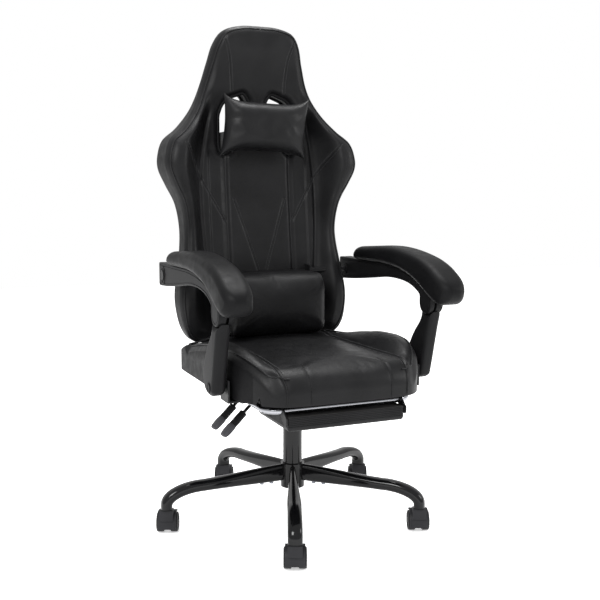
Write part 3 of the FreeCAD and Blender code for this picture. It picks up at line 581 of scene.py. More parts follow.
def rib_tree():
    """Raised rings at an even pitch along a line."""
    tree, given = node_tree("Ribs", [("Pitch", "NodeSocketFloat"), ("Radius", "NodeSocketFloat"),
                                     ("Thickness", "NodeSocketFloat"), ("Material", "NodeSocketMaterial")])
    line = add_node(tree, "GeometryNodeMeshToCurve", {"Mesh": given["Geometry"]})
    spots = add_node(tree, "GeometryNodeCurveToPoints", {"Curve": line.outputs[0], "Length": given["Pitch"]},
                     mode="LENGTH")
    ring = add_node(tree, "GeometryNodeCurvePrimitiveCircle", {"Resolution": 24, "Radius": given["Radius"]})
    wire = add_node(tree, "GeometryNodeCurvePrimitiveCircle", {"Resolution": 8, "Radius": given["Thickness"]})
    rib = add_node(tree, "GeometryNodeCurveToMesh",
                   {"Curve": ring.outputs[0], "Profile Curve": wire.outputs[0]})
    ribs = add_node(tree, "GeometryNodeInstanceOnPoints",
                    {"Points": spots.outputs["Points"], "Instance": rib.outputs[0],
                     "Rotation": spots.outputs["Rotation"]})
    return close_tree(tree, ribs.outputs[0], given["Material"])


def along_lines(name, tree, lines, closed=False, **values):
    """Run a node tree on polylines given in millimetres, and keep the result as a plain mesh."""
    points, edges = [], []
    for line in lines:
        start = len(points)
        points += [tuple(Vector(p) * MM) for p in line]
        edges += [(i, i + 1) for i in range(start, len(points) - 1)]
        if closed:
            edges.append((len(points) - 1, start))
    mesh = bpy.data.meshes.new(name)
    mesh.from_pydata(points, edges, [])
    obj = bpy.data.objects.new(name, mesh)
    bpy.context.scene.collection.objects.link(obj)
    modifier = obj.modifiers.new("Nodes", "NODES")
    modifier.node_group = tree
    for item in tree.interface.items_tree:
        if item.item_type == "SOCKET" and item.in_out == "INPUT" and item.name in values:
            modifier[item.identifier] = values[item.name]
    return settled(obj)


def sewn(name, lines, body, material, closed=False):
    """A row of stitches along each line."""
    size = bpy.context.scene.chair_sizes
    obj = along_lines(name, bpy.data.node_groups["Stitches"], lines, closed, Pitch=size.stitch_pitch,
                      Length=size.stitch_pitch * 0.72, Thread=size.thread_radius, Material=material)
    return finish(obj, body, "padded_leatherette", material)


def piped(name, lines, radius, body, material, closed=False, slot="padded_leatherette", sides=10):
    """A round piping cord along each line."""
    obj = along_lines(name, bpy.data.node_groups["Piping"], lines, closed, Radius=radius * MM, Sides=sides,
                      Material=material)
    return finish(obj, body, slot, material)


# ---------------------------------------------------------------- finishes
def blank(name):
    material = bpy.data.materials.new(name)
    material.use_nodes = True
    tree = material.node_tree
    tree.nodes.clear()
    place = add_node(tree, "ShaderNodeTexCoord").outputs["Object"]
    shader = add_node(tree, "ShaderNodeBsdfPrincipled")
    add_node(tree, "ShaderNodeOutputMaterial", {"Surface": shader.outputs[0]})
    return material, tree, place, shader


def varied(tree, factor, low, high):
    """A colour between two, by a factor."""
    mix = add_node(tree, "ShaderNodeMix", {"Factor": factor}, data_type="RGBA")
    mix.inputs[6].default_value = low
    mix.inputs[7].default_value = high
    return mix.outputs[2]


def ranged(tree, value, low, high, start=0.0, end=1.0):
    return add_node(tree, "ShaderNodeMapRange", {"Value": value, "From Min": start, "From Max": end,
                                                 "To Min": low, "To Max": high}).outputs[0]


def leather_finish(name, low, high, grain, roughness, shine=0.14, bump=0.5, crease=0.0006):
    """Polyurethane-coated leather: a calendered grain over soft creases, satin, paler on worn edges."""
    material, tree, place, shader = blank(name)
    broad = add_node(tree, "ShaderNodeTexNoise", {"Vector": place, "Scale": 1 / 0.11, "Detail": 2.0})
    cells = add_node(tree, "ShaderNodeTexVoronoi", {"Vector": place, "Scale": 1 / (grain * MM)})
    creases = add_node(tree, "ShaderNodeTexNoise", {"Vector": place, "Scale": 1 / 0.022, "Detail": 3.0,
                                                    "Distortion": 0.4})
    worn = add_node(tree, "ShaderNodeNewGeometry").outputs["Pointiness"]
    wear = ranged(tree, worn, 0.0, 0.35, 0.52, 0.62)
    tint = varied(tree, ranged(tree, broad.outputs["Fac"], 0.0, 1.0, 0.3, 0.7), low, high)
    worn_mix = add_node(tree, "ShaderNodeMix", {"Factor": wear}, data_type="RGBA")
    tree.links.new(tint, worn_mix.inputs[6])
    worn_mix.inputs[7].default_value = tuple(min(1, 2.2 * v) for v in high[:3]) + (1,)
    tree.links.new(worn_mix.outputs[2], shader.inputs["Base Color"])
    sheen = ranged(tree, creases.outputs["Fac"], roughness - 0.05, roughness + 0.07, 0.3, 0.7)
    tree.links.new(sheen, shader.inputs["Roughness"])
    soft = add_node(tree, "ShaderNodeBump", {"Height": creases.outputs["Fac"], "Strength": 0.6,
                                             "Distance": crease})
    fine = add_node(tree, "ShaderNodeBump", {"Height": cells.outputs["Distance"], "Strength": bump,
                                             "Distance": 0.00035, "Normal": soft.outputs[0]})
    tree.links.new(fine.outputs[0], shader.inputs["Normal"])
    shader.inputs["IOR"].default_value = 1.5
    shader.inputs["Specular IOR Level"].default_value = shine
    return material


def moulded_finish(name, low, high, roughness, grain=1.4, depth=0.00012):
    """Injection-moulded plastic: an even spark-eroded grain, satin, with faint flow shading."""
    material, tree, place, shader = blank(name)
    flow = add_node(tree, "ShaderNodeTexNoise", {"Vector": place, "Scale": 1 / 0.05, "Detail": 1.0})
    grit = add_node(tree, "ShaderNodeTexNoise", {"Vector": place, "Scale": 1 / (grain * MM), "Detail": 2.0})
    tree.links.new(varied(tree, flow.outputs["Fac"], low, high), shader.inputs["Base Color"])
    tree.links.new(ranged(tree, grit.outputs["Fac"], roughness - 0.05, roughness + 0.06, 0.3, 0.7),
                   shader.inputs["Roughness"])
    bump = add_node(tree, "ShaderNodeBump", {"Height": grit.outputs["Fac"], "Strength": 0.5, "Distance": depth})
    tree.links.new(bump.outputs[0], shader.inputs["Normal"])
    shader.inputs["IOR"].default_value = 1.49
    shader.inputs["Specular IOR Level"].default_value = 0.09
    return material


def painted_finish(name, low, high, roughness, coat=0.0):
    """Stoved black enamel on steel: deep and glossy, with the slight orange peel of sprayed paint."""
    material, tree, place, shader = blank(name)
    peel = add_node(tree, "ShaderNodeTexNoise", {"Vector": place, "Scale": 1 / 0.007, "Detail": 1.0})
    dust = add_node(tree, "ShaderNodeTexNoise", {"Vector": place, "Scale": 1 / 0.04, "Detail": 3.0})
    tree.links.new(varied(tree, dust.outputs["Fac"], low, high), shader.inputs["Base Color"])
    tree.links.new(ranged(tree, dust.outputs["Fac"], roughness - 0.03, roughness + 0.05, 0.3, 0.7),
                   shader.inputs["Roughness"])
    bump = add_node(tree, "ShaderNodeBump", {"Height": peel.outputs["Fac"], "Strength": 0.25,
                                             "Distance": 0.0001})
    tree.links.new(bump.outputs[0], shader.inputs["Normal"])
    shader.inputs["IOR"].default_value = 1.5
    shader.inputs["Specular IOR Level"].default_value = 0.14
    shader.inputs["Coat Weight"].default_value = coat
    shader.inputs["Coat Roughness"].default_value = 0.06
    return material


def steel_finish(name, low, high, roughness):
    """Ground steel: drawn lines round the shaft and a bright, slightly broken reflection."""
    material, tree, place, shader = blank(name)
    lines = add_node(tree, "ShaderNodeTexWave", {"Vector": place, "Scale": 1 / 0.004, "Distortion": 2.0,
                                                 "Detail": 2.0}, bands_direction="Z")
    tree.links.new(varied(tree, lines.outputs["Fac"], low, high), shader.inputs["Base Color"])
    tree.links.new(ranged(tree, lines.outputs["Fac"], roughness, roughness + 0.1), shader.inputs["Roughness"])
    shader.inputs["Metallic"].default_value = 1.0
    return material


def woven_finish(name, low, high, pitch):
    """Woven polyester: crossing ribs of thread, matt with a faint sheen."""
    material, tree, place, shader = blank(name)
    warp = add_node(tree, "ShaderNodeTexWave", {"Vector": place, "Scale": 0.314 / (pitch * MM)},
                    bands_direction="Z")
    weft = add_node(tree, "ShaderNodeTexWave", {"Vector": place, "Scale": 0.314 / (pitch * MM)},
                    bands_direction="X")
    cloth = add_node(tree, "ShaderNodeMath", {0: warp.outputs["Fac"], 1: weft.outputs["Fac"]},
                     operation="MULTIPLY")
    tree.links.new(varied(tree, cloth.outputs[0], low, high), shader.inputs["Base Color"])
    bump = add_node(tree, "ShaderNodeBump", {"Height": cloth.outputs[0], "Strength": 0.7, "Distance": 0.0004})
    tree.links.new(bump.outputs[0], shader.inputs["Normal"])
    shader.inputs["Roughness"].default_value = 0.85
    shader.inputs["Sheen Weight"].default_value = 0.15
    return material


def plywood_finish(name, low, high):
    """Plywood: long grain in thin layers, sawn and stained, matt."""
    material, tree, place, shader = blank(name)
    plies = add_node(tree, "ShaderNodeTexWave", {"Vector": place, "Scale": 0.314 / 0.0015, "Distortion": 0.6,
                                                 "Detail": 2.0}, bands_direction="Z")
    aim = add_node(tree, "ShaderNodeMapping", {"Vector": place, "Scale": (6.0, 90.0, 90.0)})
    grain = add_node(tree, "ShaderNodeTexNoise", {"Vector": aim.outputs[0], "Scale": 1.0, "Detail": 4.0})
    mixed = add_node(tree, "ShaderNodeMath", {0: plies.outputs["Fac"], 1: grain.outputs["Fac"]},
                     operation="MULTIPLY")
    tree.links.new(varied(tree, mixed.outputs[0], low, high), shader.inputs["Base Color"])
    bump = add_node(tree, "ShaderNodeBump",
                    {"Height": grain.outputs["Fac"], "Strength": 0.4, "Distance": 0.0003})
    tree.links.new(bump.outputs[0], shader.inputs["Normal"])
    shader.inputs["Roughness"].default_value = 0.7
    return material


# ---------------------------------------------------------------- the chair's own shapes
BACK_SIDE = [(0, 451), (75, 451), (150, 451), (206, 457), (232, 490), (243, 545), (243, 590), (234, 644),
             (224, 705), (222, 765), (232, 825), (256, 875), (273, 915), (274, 950), (260, 992), (224, 1024),
             (191, 1064), (170, 1102), (152, 1150), (137, 1200), (122, 1250), (98, 1284), (52, 1298), (0, 1300)]
PANEL_FRONT = [(430, 191.5), (700, 218.5), (945, 243), (1040, 244), (1100, 243.5), (1130, 240),
               (1200, 233), (1265, 217), (1310, 211)]
WING_FRONT = [(440, 195), (500, 178), (573, 169), (660, 182), (760, 197), (850, 186), (933, 169), (1010, 186),
              (1064, 216), (1122, 240), (1200, 233), (1265, 217), (1310, 211)]
BACK_REAR = [(440, 226), (490, 242), (630, 264), (810, 287), (960, 300), (1090, 300), (1190, 293),
             (1265, 279), (1310, 261)]
BACK_ROLL = [(440, 6), (475, 6), (560, 24), (700, 20), (800, 22), (930, 32), (1064, 28), (1200, 30), (1300, 26)]
SLOT = [(23, 1098), (40, 1124), (86, 1107), (101, 1090), (112, 1062), (112, 985), (108, 962), (84, 960)]
V_SEAM = [(74, 836), (42, 738), (11, 639), (6, 600)]
WING_SEAM = [(222, 985), (206, 962), (152, 868), (100, 777)]
HEAD_SEAM = [(99, 1262), (84, 1215), (78, 1165), (76, 1128)]


def panel_plane(z):
    return through(PANEL_FRONT, z)


def slot_edge():
    return counter_clockwise(softened(np.array(SLOT, float), 9.0))


def back_edge():
    half = smooth_line(BACK_SIDE, 2.5)
    return np.vstack([half, (half * (-1, 1))[::-1][1:]])


def off_slot(a, z):
    """How far a spot lies outside the harness slot, and 0 for a spot within it."""
    within = inside_of(CLOSED_SLOT[:-1], np.stack([a.ravel(), z.ravel()], 1)).reshape(a.shape)
    return np.where(within, 0, distance_to(CLOSED_SLOT, a, z))


def back_face(x, z):
    """Front of the backrest: a raised middle panel between grooves, hollow inside two padded wings."""
    a = np.abs(x)
    plane = panel_plane(z)
    wing = through(WING_FRONT, z)
    width = through([(h, w) for w, h in BACK_SIDE[2:-1]], z)
    seam = through([(440, 149), (1030, 148), (1108, 128), (1180, 110), (1300, 92)], z)
    crest = seam + 0.62 * np.maximum(width - seam, 8)
    y = plane + (wing - plane) * smoothstep(a, seam + 2, crest)
    body = smoothstep(z, 455, 480) * (1 - smoothstep(z, 965, 1000))
    y = y + 9.0 * dip(a - 95, 7.0) * body
    y = y + 5.0 * smoothstep(a, 96, 104) * (1 - smoothstep(a, 138, 147)) * body
    y = y + 5.0 * dip(a - seam, 4.5) * (1 - smoothstep(z, 1040, 1100))
    y = y + 1.6 * dip(distance_to(np.array(V_SEAM, float), a, z), 3.2)
    y = y + 1.8 * dip(distance_to(np.array(WING_SEAM, float), a, z), 3.2)
    y = y + 1.8 * dip(distance_to(np.array(HEAD_SEAM, float), a, z), 3.4)
    head = smoothstep(z, 1150, 1210) * (1 - smoothstep(z, 1235, 1290))
    y = y - 5.0 * head * (1 - smoothstep(a, 30, 95))
    edge = distance_to(EDGE, x, z)
    y = y + rolled(edge, through(BACK_ROLL, z)) + 1.3 * dip(edge - 11, 2.2)
    outside = np.minimum(off_slot(a, z), 60)
    y = y + rolled(outside, 17) + 0.5 * dip(outside - 22, 5) * (z > 940)
    return y + 0.9 * ripple(x, z, 55.0, 3.0) + 0.5 * ripple(x, z, 20.0, 9.0) * smoothstep(a, 150, 175)


def back_rear(x, z):
    """Rear of the backrest: one smooth panel sewn inside a border."""
    edge = distance_to(EDGE, x, z)
    a = np.abs(x)
    y = through(BACK_REAR, z) - rolled(edge, 17) - rolled(off_slot(a, z), 8)
    return y - 1.8 * dip(edge - 26, 2.6) + 0.6 * ripple(x, z, 60.0, 21.0) - 0.6


EDGE = back_edge()
CLOSED_SLOT = np.vstack([slot_edge(), slot_edge()[:1]])


def draped(line, face, lift=0.0, spacing=2.5):
    """A line in x and z laid on a face of the backrest."""
    flat = smooth_line(line, spacing)
    y = face(flat[:, 0], flat[:, 1]) - lift
    return np.stack([flat[:, 0], y, flat[:, 1]], 1)


def both(lines):
    return [line for one in lines for line in (one, one * (-1, 1, 1))]


def inset_edge(gap, low, high):
    """The backrest's outline drawn in by a gap, between two heights."""
    half = smooth_line(BACK_SIDE, 2.5)
    whole = counter_clockwise(np.vstack([half, (half * (-1, 1))[::-1][1:-1]]))
    line = whole - outward(whole) * gap
    line = line[(line[:, 0] > 0) & (line[:, 1] > low) & (line[:, 1] < high)]
    return line[np.argsort(line[:, 1])]


# ---------------------------------------------------------------- sizes and colours
class ChairSizes(bpy.types.PropertyGroup):
    stitch_pitch: bpy.props.FloatProperty(name="Stitch Pitch",
                                          description="Distance from one stitch to the next",
                                          default=0.0052, unit="LENGTH")
    thread_radius: bpy.props.FloatProperty(name="Thread Radius", description="Radius of the sewing thread",
                                           default=0.00045, unit="LENGTH", precision=5)
    pillow_ears: bpy.props.FloatProperty(name="Pillow Height",
                                         description="Height of the head pillow at its corners",
                                         default=0.166, unit="LENGTH")
    pillow_width: bpy.props.FloatProperty(name="Pillow Width", description="Width of the head pillow",
                                          default=0.246, unit="LENGTH")
    grain: bpy.props.FloatProperty(name="Leather Grain",
                                   description="Width of one cell of the leather's grain, drawn "
                                   "coarser than the real 1 mm so that it shows",
                                   default=0.0022, unit="LENGTH", precision=5)
    panel_puff: bpy.props.FloatProperty(name="Panel Puff", description="How far the seat's panels may swell",
                                        default=0.007, unit="LENGTH", precision=4)


class ChairColours(bpy.types.PropertyGroup):
    leather_low: bpy.props.FloatVectorProperty(name="Leather", description="Leather in its creases", size=4,
                                               subtype="COLOR", default=linear("#0b0b0c"))
    leather_high: bpy.props.FloatVectorProperty(name="Leather, Raised",
                                                description="Leather where it is stretched",
                                                size=4, subtype="COLOR", default=linear("#131314"))
    plastic: bpy.props.FloatVectorProperty(name="Plastic", description="Moulded arms and posts", size=4,
                                           subtype="COLOR", default=linear("#0d0d0e"))
    caster: bpy.props.FloatVectorProperty(name="Caster Nylon", description="Caster hoods and wheels", size=4,
                                          subtype="COLOR", default=linear("#1f1f21"))
    enamel: bpy.props.FloatVectorProperty(name="Enamel", description="Painted base and frame", size=4,
                                          subtype="COLOR", default=linear("#060607"))


# ---------------------------------------------------------------- operators
class CHAIR_OT_finishes(bpy.types.Operator):
    """Make the finishes and give them to the CAD parts that show"""
    bl_idname = "chair.finishes"
    bl_label = "Finishes"

    def execute(self, context):
        c = context.scene.chair_colours
        size = context.scene.chair_sizes
        grain = size.grain / MM
        # Polyurethane-coated leather, calendered: satin, with a fine pebble grain and broad soft creases.
        leather_finish("pu_leather_calendered", c.leather_low, c.leather_high, grain, 0.43)
        # A copy of the same leather for the wings' sides, the seat's sides and the rear panel: its colour
        # darker as painted shade, and flatter, with less shine.
        leather_finish("pu_leather_side", linear("#0b0b0c"), linear("#0f0f10"), grain, 0.5, 0.08, 0.4)
        # Integral-skin polyurethane of the arm pads: soft sheen, hardly any grain.
        leather_finish("pu_skin_moulded", linear("#080809"), linear("#0e0e0f"), 1.6, 0.5, 0.08, 0.2, 0.0002)
        # Twisted polyester thread: matt, a little paler than the leather.
        woven_finish("polyester_thread", linear("#1c1c1e"), linear("#2a2a2c"), 0.8)
        # Elastic and woven straps: 2 mm ribs, drawn at 2.4 mm so that they show.
        woven_finish("polyester_webbing_woven", linear("#0c0c0d"), linear("#1a1a1c"), 2.4)
        # Glass-filled nylon with a spark-eroded grain: satin black.
        moulded_finish("nylon_moulded", c.plastic, linear("#151516"), 0.5)
        # Polypropylene caster mouldings: greyer, a broad soft highlight.
        moulded_finish("polypropylene_caster", c.caster, linear("#2a2a2c"), 0.45)
        # Polyurethane tyre and wheel discs: dark grey, smooth.
        moulded_finish("polyurethane_wheel", linear("#161617"), linear("#202022"), 0.38)
        # PVC grip sleeve, matt black.
        moulded_finish("pvc_grip_moulded", linear("#0e0e0f"), linear("#161617"), 0.6)
        # ABS lever paddle, mid grey.
        moulded_finish("abs_paddle_moulded", linear("#303033"), linear("#3c3c3f"), 0.4)
        # Stoved enamel on the base: wet-looking, with long sharp highlights.
        painted_finish("enamel_stoved_gloss", c.enamel, linear("#0a0a0b"), 0.12, 0.16)
        # Powder coat on the frame and the mechanism: duller, finely rough.
        painted_finish("powder_coat_satin", linear("#0d0d0e"), linear("#151516"), 0.42)
        # Ground steel of the gas lift's rod and the pivots.
        steel_finish("steel_ground", linear("#8e9094"), linear("#b4b6ba"), 0.2)
        # Black-chromed steel of the footrest's bent tube: a dark mirror with one thin white line.
        steel_finish("steel_black_chromed", linear("#87888c"), linear("#9b9ca0"), 0.12)
        # Zinc-plated fasteners, dull blue-grey.
        steel_finish("steel_zinc_plated", linear("#6c6f75"), linear("#8d9096"), 0.38)
        # Plywood stained black, its plies and grain still showing.
        plywood_finish("plywood_stained_black", linear("#0b0a0a"), linear("#1b1917"))
        stitch_tree()
        piping_tree()
        rib_tree()
        kinds = {
            "enamel_stoved_gloss": ("base_", "lift_outer_tube"),
            "steel_black_chromed": ("footrest_tube",),
            "powder_coat_satin": ("seat_frame", "mechanism_housing", "recline_ears", "recline_brackets",
                                  "armrest_brackets", "armrest_pivots", "back_frame", "footrest_hinges",
                                  "footrest_guides", "height_lever_rod", "recline_lever_rod"),
            "steel_ground": ("lift_gas", "lift_piston", "recline_shaft", "caster_stems", "lift_thrust",
                             "lift_release", "arm_front_pin"),
            "steel_zinc_plated": ("leg_bolts", "mechanism_bolts", "lever_pivot_pins"),
            "nylon_moulded": ("lift_guide_bush", "caster_sockets", "arm_", "harness_slot"),
            "polypropylene_caster": ("caster_hood", "caster_wheels"),
            "polyester_webbing_woven": ("seat_webbing",),
            "plywood_stained_black": ("footrest_board",),
        }
        dressed = set()
        for material, starts in kinds.items():
            for name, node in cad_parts.items():
                if name.startswith(starts) and name not in dressed:
                    for place in node.material_slots:
                        place.material = bpy.data.materials[material]
                    dressed.add(name)
        return {"FINISHED"}


class CHAIR_OT_backrest(bpy.types.Operator):
    """Upholster the backrest: shell with harness openings, piping, seams and stitches"""
    bl_idname = "chair.backrest"
    bl_label = "Backrest"

    def execute(self, context):
        half = smooth_line(BACK_SIDE, 1.5)
        low = int(np.argmin(np.hypot(*(half - (224, 472)).T)))
        high = int(np.argmin(np.hypot(*(half - (112, 1268)).T)))
        across = edge_shares(90, 0.09, 8)
        along = edge_shares(225, 0.03, 7, both=True)
        plan = patch(np.array([(0, 451), (0, 1300)], float), half[low:high + 1], half[:low + 1],
                     half[high:][::-1], across, along)
        slots = [slot_edge(), slot_edge() * (-1, 1)]
        shell = Shell(plan, back_face, back_rear, "Y", band=9, holes=slots)
        leather = bpy.data.materials["pu_leather_calendered"]
        side = bpy.data.materials["pu_leather_side"]
        obj = shell.piece("backrest_upholstery", sharp=75)
        finish(obj, "backrest", "padded_leatherette", leather, "back_cushion", fill=0.9)
        # Faces that do not face the front get the leather's darker copy: painted shade.
        obj.data.materials.append(side)
        for polygon in obj.data.polygons:
            if polygon.normal.y > -0.25:
                polygon.material_index = 1
        thread = bpy.data.materials["polyester_thread"]
        rim = inset_edge(9.5, 456, 1302)
        edge = np.stack([rim[:, 0], back_face(rim[:, 0], rim[:, 1]) - 0.6, rim[:, 1]], 1)
        piped("backrest_piping", [edge, edge * (-1, 1, 1)], 1.9, "backrest", leather)
        rear = inset_edge(26, 470, 1302)
        rear = np.stack([rear[:, 0], back_rear(rear[:, 0], rear[:, 1]) - 0.2, rear[:, 1]], 1)
        # The rear piping and both harness slot rims below also get the leather's darker copy: painted shade.
        piped("backrest_rear_piping", [rear, rear * (-1, 1, 1)], 1.6, "backrest", side)
        front = [np.stack([s[:, 0], panel_plane(s[:, 1]) + 9, s[:, 1]], 1) for s in slots]
        piped("harness_slot_rims", front, 4.5, "backrest", side, closed=True, sides=16)
        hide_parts("harness_slot_trims")
        back = [np.stack([s[:, 0], through(BACK_REAR, s[:, 1]) - 9, s[:, 1]], 1) for s in slots]
        piped("harness_slot_rear_rims", back, 5.5, "backrest", side, closed=True, sides=16)
        rows = []
        for line in (V_SEAM, WING_SEAM, HEAD_SEAM):
            for gap in (-4.0, 4.0):
                moved = np.array(line, float) + (gap, 0)
                rows.append(draped(moved, back_face, 0.1))
        sewn("backrest_stitches", both(rows), "backrest", thread)
        seams = [draped(line, back_face, 0.2) for line in (V_SEAM, WING_SEAM, HEAD_SEAM)]
        piped("backrest_seam_welts", both(seams), 0.9, "backrest", leather, sides=8)
        return {"FINISHED"}


class CHAIR_OT_head_pillow(bpy.types.Operator):
    """Shape the head pillow, let its cover wrinkle for a moment as cloth, and make its elastic strap"""
    bl_idname = "chair.head_pillow"
    bl_label = "Head Pillow"

    def execute(self, context):
        size = context.scene.chair_sizes
        low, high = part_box("head_pillow")
        columns, rows = 97, 69
        u, v = np.meshgrid(np.sin(np.linspace(-math.pi / 2, math.pi / 2, columns)),
                           np.sin(np.linspace(-math.pi / 2, math.pi / 2, rows)))
        full = np.clip((1 - u ** 4) * (1 - v ** 4), 0, 1) ** 0.6
        ears = size.pillow_ears / MM / 2
        x = u * size.pillow_width / MM / 2 * (1 - 0.07 * (1 - v ** 2)) + 7.0 * v
        z = v * (ears - 19.5 * (1 - np.abs(u) ** 5)) + (low.z + high.z) / MM / 2 + 1 - 3.5 * u
        half = (high.y - low.y) / MM / 2 - 1.0
        middle = (high.y + low.y) / MM / 2
        folds = np.sin(v * 9 + 4.0 * ripple(x, z, 60.0, 12.0)) * smoothstep(np.abs(u), 0.5, 0.9)
        thick = full * (half - 1.0 - 2.4 * (1 + folds)) + full * 0.9 * ripple(x, z, 34.0, 5.0)
        number = np.arange(rows * columns).reshape(rows, columns)
        front = np.stack([x, middle - thick, z], -1).reshape(-1, 3)
        rear = np.stack([x, middle + thick * 0.94, z], -1).reshape(-1, 3)
        inner = np.zeros((rows, columns), bool)
        inner[1:-1, 1:-1] = True
        other = number.copy()
        other[inner] = rows * columns + np.arange(inner.sum())
        points = np.vstack([front, rear[inner.ravel()]])
        faces = []
        for grid in (number, other):
            quads = np.stack([grid[:-1, :-1], grid[:-1, 1:], grid[1:, 1:], grid[1:, :-1]], -1).reshape(-1, 4)
            faces += [tuple(int(i) for i in (q if grid is number else q[::-1])) for q in quads]
        obj = new_piece("head_pillow_cover", points, faces, 80)
        rim = np.append(np.maximum(np.abs(u), np.abs(v)).ravel(), np.maximum(np.abs(u), np.abs(v))[inner])
        inflate(obj, smoothstep(rim, 0.97, 0.999), 2.0, 8, 2.5)
        spots = np.array([p.co for p in obj.data.vertices])
        spots[:, 1] = np.clip(spots[:, 1], low.y + MM, high.y - MM)
        obj.data.vertices.foreach_set("co", spots.ravel())
        obj.data.update()
        with_modifier(obj, "SUBSURF", levels=1, render_levels=1)
        smooth(obj, 80)
        leather = bpy.data.materials["pu_leather_calendered"]
        finish(obj, "head_pillow", "padded_leatherette", leather, "head_pillow", fill=0.75)
        low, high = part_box("head_pillow_strap")
        reach, far = high.x / MM - 1, high.y / MM - 1
        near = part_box("head_pillow")[1].y / MM - 14
        bend = 5.0
        turn = [(reach - bend + bend * math.sin(a), far - bend + bend * math.cos(a))
                for a in np.linspace(math.pi / 2, 0, 7)]
        side = [(reach, near + (far - bend - near) * k / 8) for k in range(8)]
        path = side + turn + [(x, far) for x in np.linspace(reach - bend - 8, 0, 12)]
        path = np.array(path + [(-x, y) for x, y in path[-2::-1]])
        run = np.gradient(path, axis=0)
        run /= np.linalg.norm(run, axis=1)[:, None]
        across = np.stack([-run[:, 1], run[:, 0]], 1)
        z0, z1 = low.z / MM, high.z / MM
        section = [(-0.9, z0 + 0.6), (0, z0), (0.9, z0 + 0.6), (0.9, z1 - 0.6), (0, z1), (-0.9, z1 - 0.6)]
        rings = [np.array([(*(p + n * s), z) for s, z in section]) for p, n in zip(path, across)]
        strap = lofted("head_pillow_elastic", rings, 50)
        finish(strap, "head_pillow", "webbing", bpy.data.materials["polyester_webbing_woven"],
               "head_pillow_strap")
        return {"FINISHED"}


def lumbar_face(x, z):
    """Front of the lumbar pillow: a deep D shape, fullest below the middle."""
    a = np.abs(x)
    y = 67 + rolled(640 - z, 50) + rolled(z - 477, 36) + rolled(130 - a, 20)
    y = y + 2.5 * dip(a - 121, 2.4) + 3.0 * ((z - 550) / 90) ** 2 * 0.6
    pucker = np.sin(a / 4.2 + z / 9.0) * smoothstep(a, 96, 124) * smoothstep(z, 590, 625)
    return y + 1.0 * pucker + 0.9 * ripple(x, z, 40.0, 33.0)


def lumbar_rear(x, z):
    edge = np.minimum(np.minimum(130 - np.abs(x), 640 - z), z - 477)
    return panel_plane(z) - 2.0 - rolled(np.maximum(edge, 0), 14)


class CHAIR_OT_lumbar_pillow(bpy.types.Operator):
    """Make the lumbar pillow that leans on the backrest"""
    bl_idname = "chair.lumbar_pillow"
    bl_label = "Lumbar Pillow"

    def execute(self, context):
        half = smooth_line([(0, 477), (60, 477), (118, 478), (129, 489), (130, 520), (130, 600), (129, 628),
                            (118, 639), (60, 640), (0, 640)], 1.5)
        low = int(np.argmin(np.hypot(*(half - (126, 481)).T)))
        high = int(np.argmin(np.hypot(*(half - (126, 636)).T)))
        plan = patch(np.array([(0, 477), (0, 640)], float), half[low:high + 1], half[:low + 1],
                     half[high:][::-1], edge_shares(34, 0.15, 6), edge_shares(46, 0.2, 6, both=True))
        shell = Shell(plan, lumbar_face, lumbar_rear, "Y", band=14)
        obj = shell.piece("lumbar_pillow_cover", sharp=80)
        spots = np.array([p.co for p in obj.data.vertices]) / MM
        held = np.clip((spots[:, 1] - (panel_plane(spots[:, 2]) - 22)) / 12, 0, 1)
        held = np.maximum(held, dip(np.abs(spots[:, 0]) - 121, 3.5))
        inflate(obj, held, 5.0, 14, 7)
        with_modifier(obj, "SUBSURF", levels=1, render_levels=1)
        smooth(obj, 80)
        leather = bpy.data.materials["pu_leather_calendered"]
        finish(obj, "lumbar_pillow", "padded_leatherette", leather, "lumbar_pillow", fill=0.85)
        return {"FINISHED"}


SEAT_SIDE = [(0, 150), (70, 150), (141, 151), (149, 160), (153, 190), (166, 203), (200, 207), (232, 204),
             (243, 188), (245, 150), (245, 60), (245, -60), (244, -140), (239, -190), (228, -232), (210, -272),
             (188, -304), (160, -324), (120, -332), (60, -334), (0, -334)]
WING_TOP = [(-334, 400), (-322, 418), (-308, 438), (-290, 456), (-265, 473), (-235, 486), (-200, 496),
            (-125, 502), (-10, 490), (130, 462), (210, 436)]


def seat_edge():
    half = smooth_line(SEAT_SIDE, 3.0)
    return np.vstack([half, (half * (-1, 1))[::-1][1:]])


SEAT_EDGE = seat_edge()


def seat_seam(y):
    """How far out the seam between the seat's middle and its wings runs."""
    return through([(-334, 149), (-300, 158), (-260, 158), (-200, 152), (208, 148)], y)


def seat_top(x, y):
    """Top of the seat: a level middle with a waterfall front, between two padded side wings."""
    a = np.abs(x)
    seam = seat_seam(y)
    crest = through([(-334, 172), (-280, 188), (-200, 200), (208, 206)], y)
    middle = 467.0 + 6.0 * smoothstep(y, 85, 130) + 1.5 * np.cos(np.clip(a / 150, 0, 1) * math.pi / 2)
    level = middle + (through(WING_TOP, y) - middle) * smoothstep(a, seam, crest)
    edge = distance_to(SEAT_EDGE, x, y)
    front = smoothstep(-y, 150, 300)
    side_roll = 40.0 * (1 - front) + (62.0 - 34.0 * smoothstep(a, 146, 176)) * front
    rear = smoothstep(y, 120, 150)
    side_roll = side_roll * (1 - rear) + 8 * rear
    z = level - rolled(edge, side_roll) * 0.85
    z = z - 4.0 * dip(a - seam, 4.5)
    z = z - 2.2 * (dip(x + 95, 2.8) + dip(x - 107, 2.8)) * smoothstep(-y, 250, 270)
    return z + 0.8 * ripple(x, y, 60.0, 41.0) + 0.35 * ripple(x, y, 16.0, 47.0)


def seat_under(x, y):
    """Underside of the seat: a skirt round a recess that takes the frame."""
    a = np.abs(x)
    away = np.maximum(np.maximum(a - 200.5, y - 150.5), -285.5 - y)
    return 386.5 + 21.0 * (1 - smoothstep(away, 0.5, 6.0))


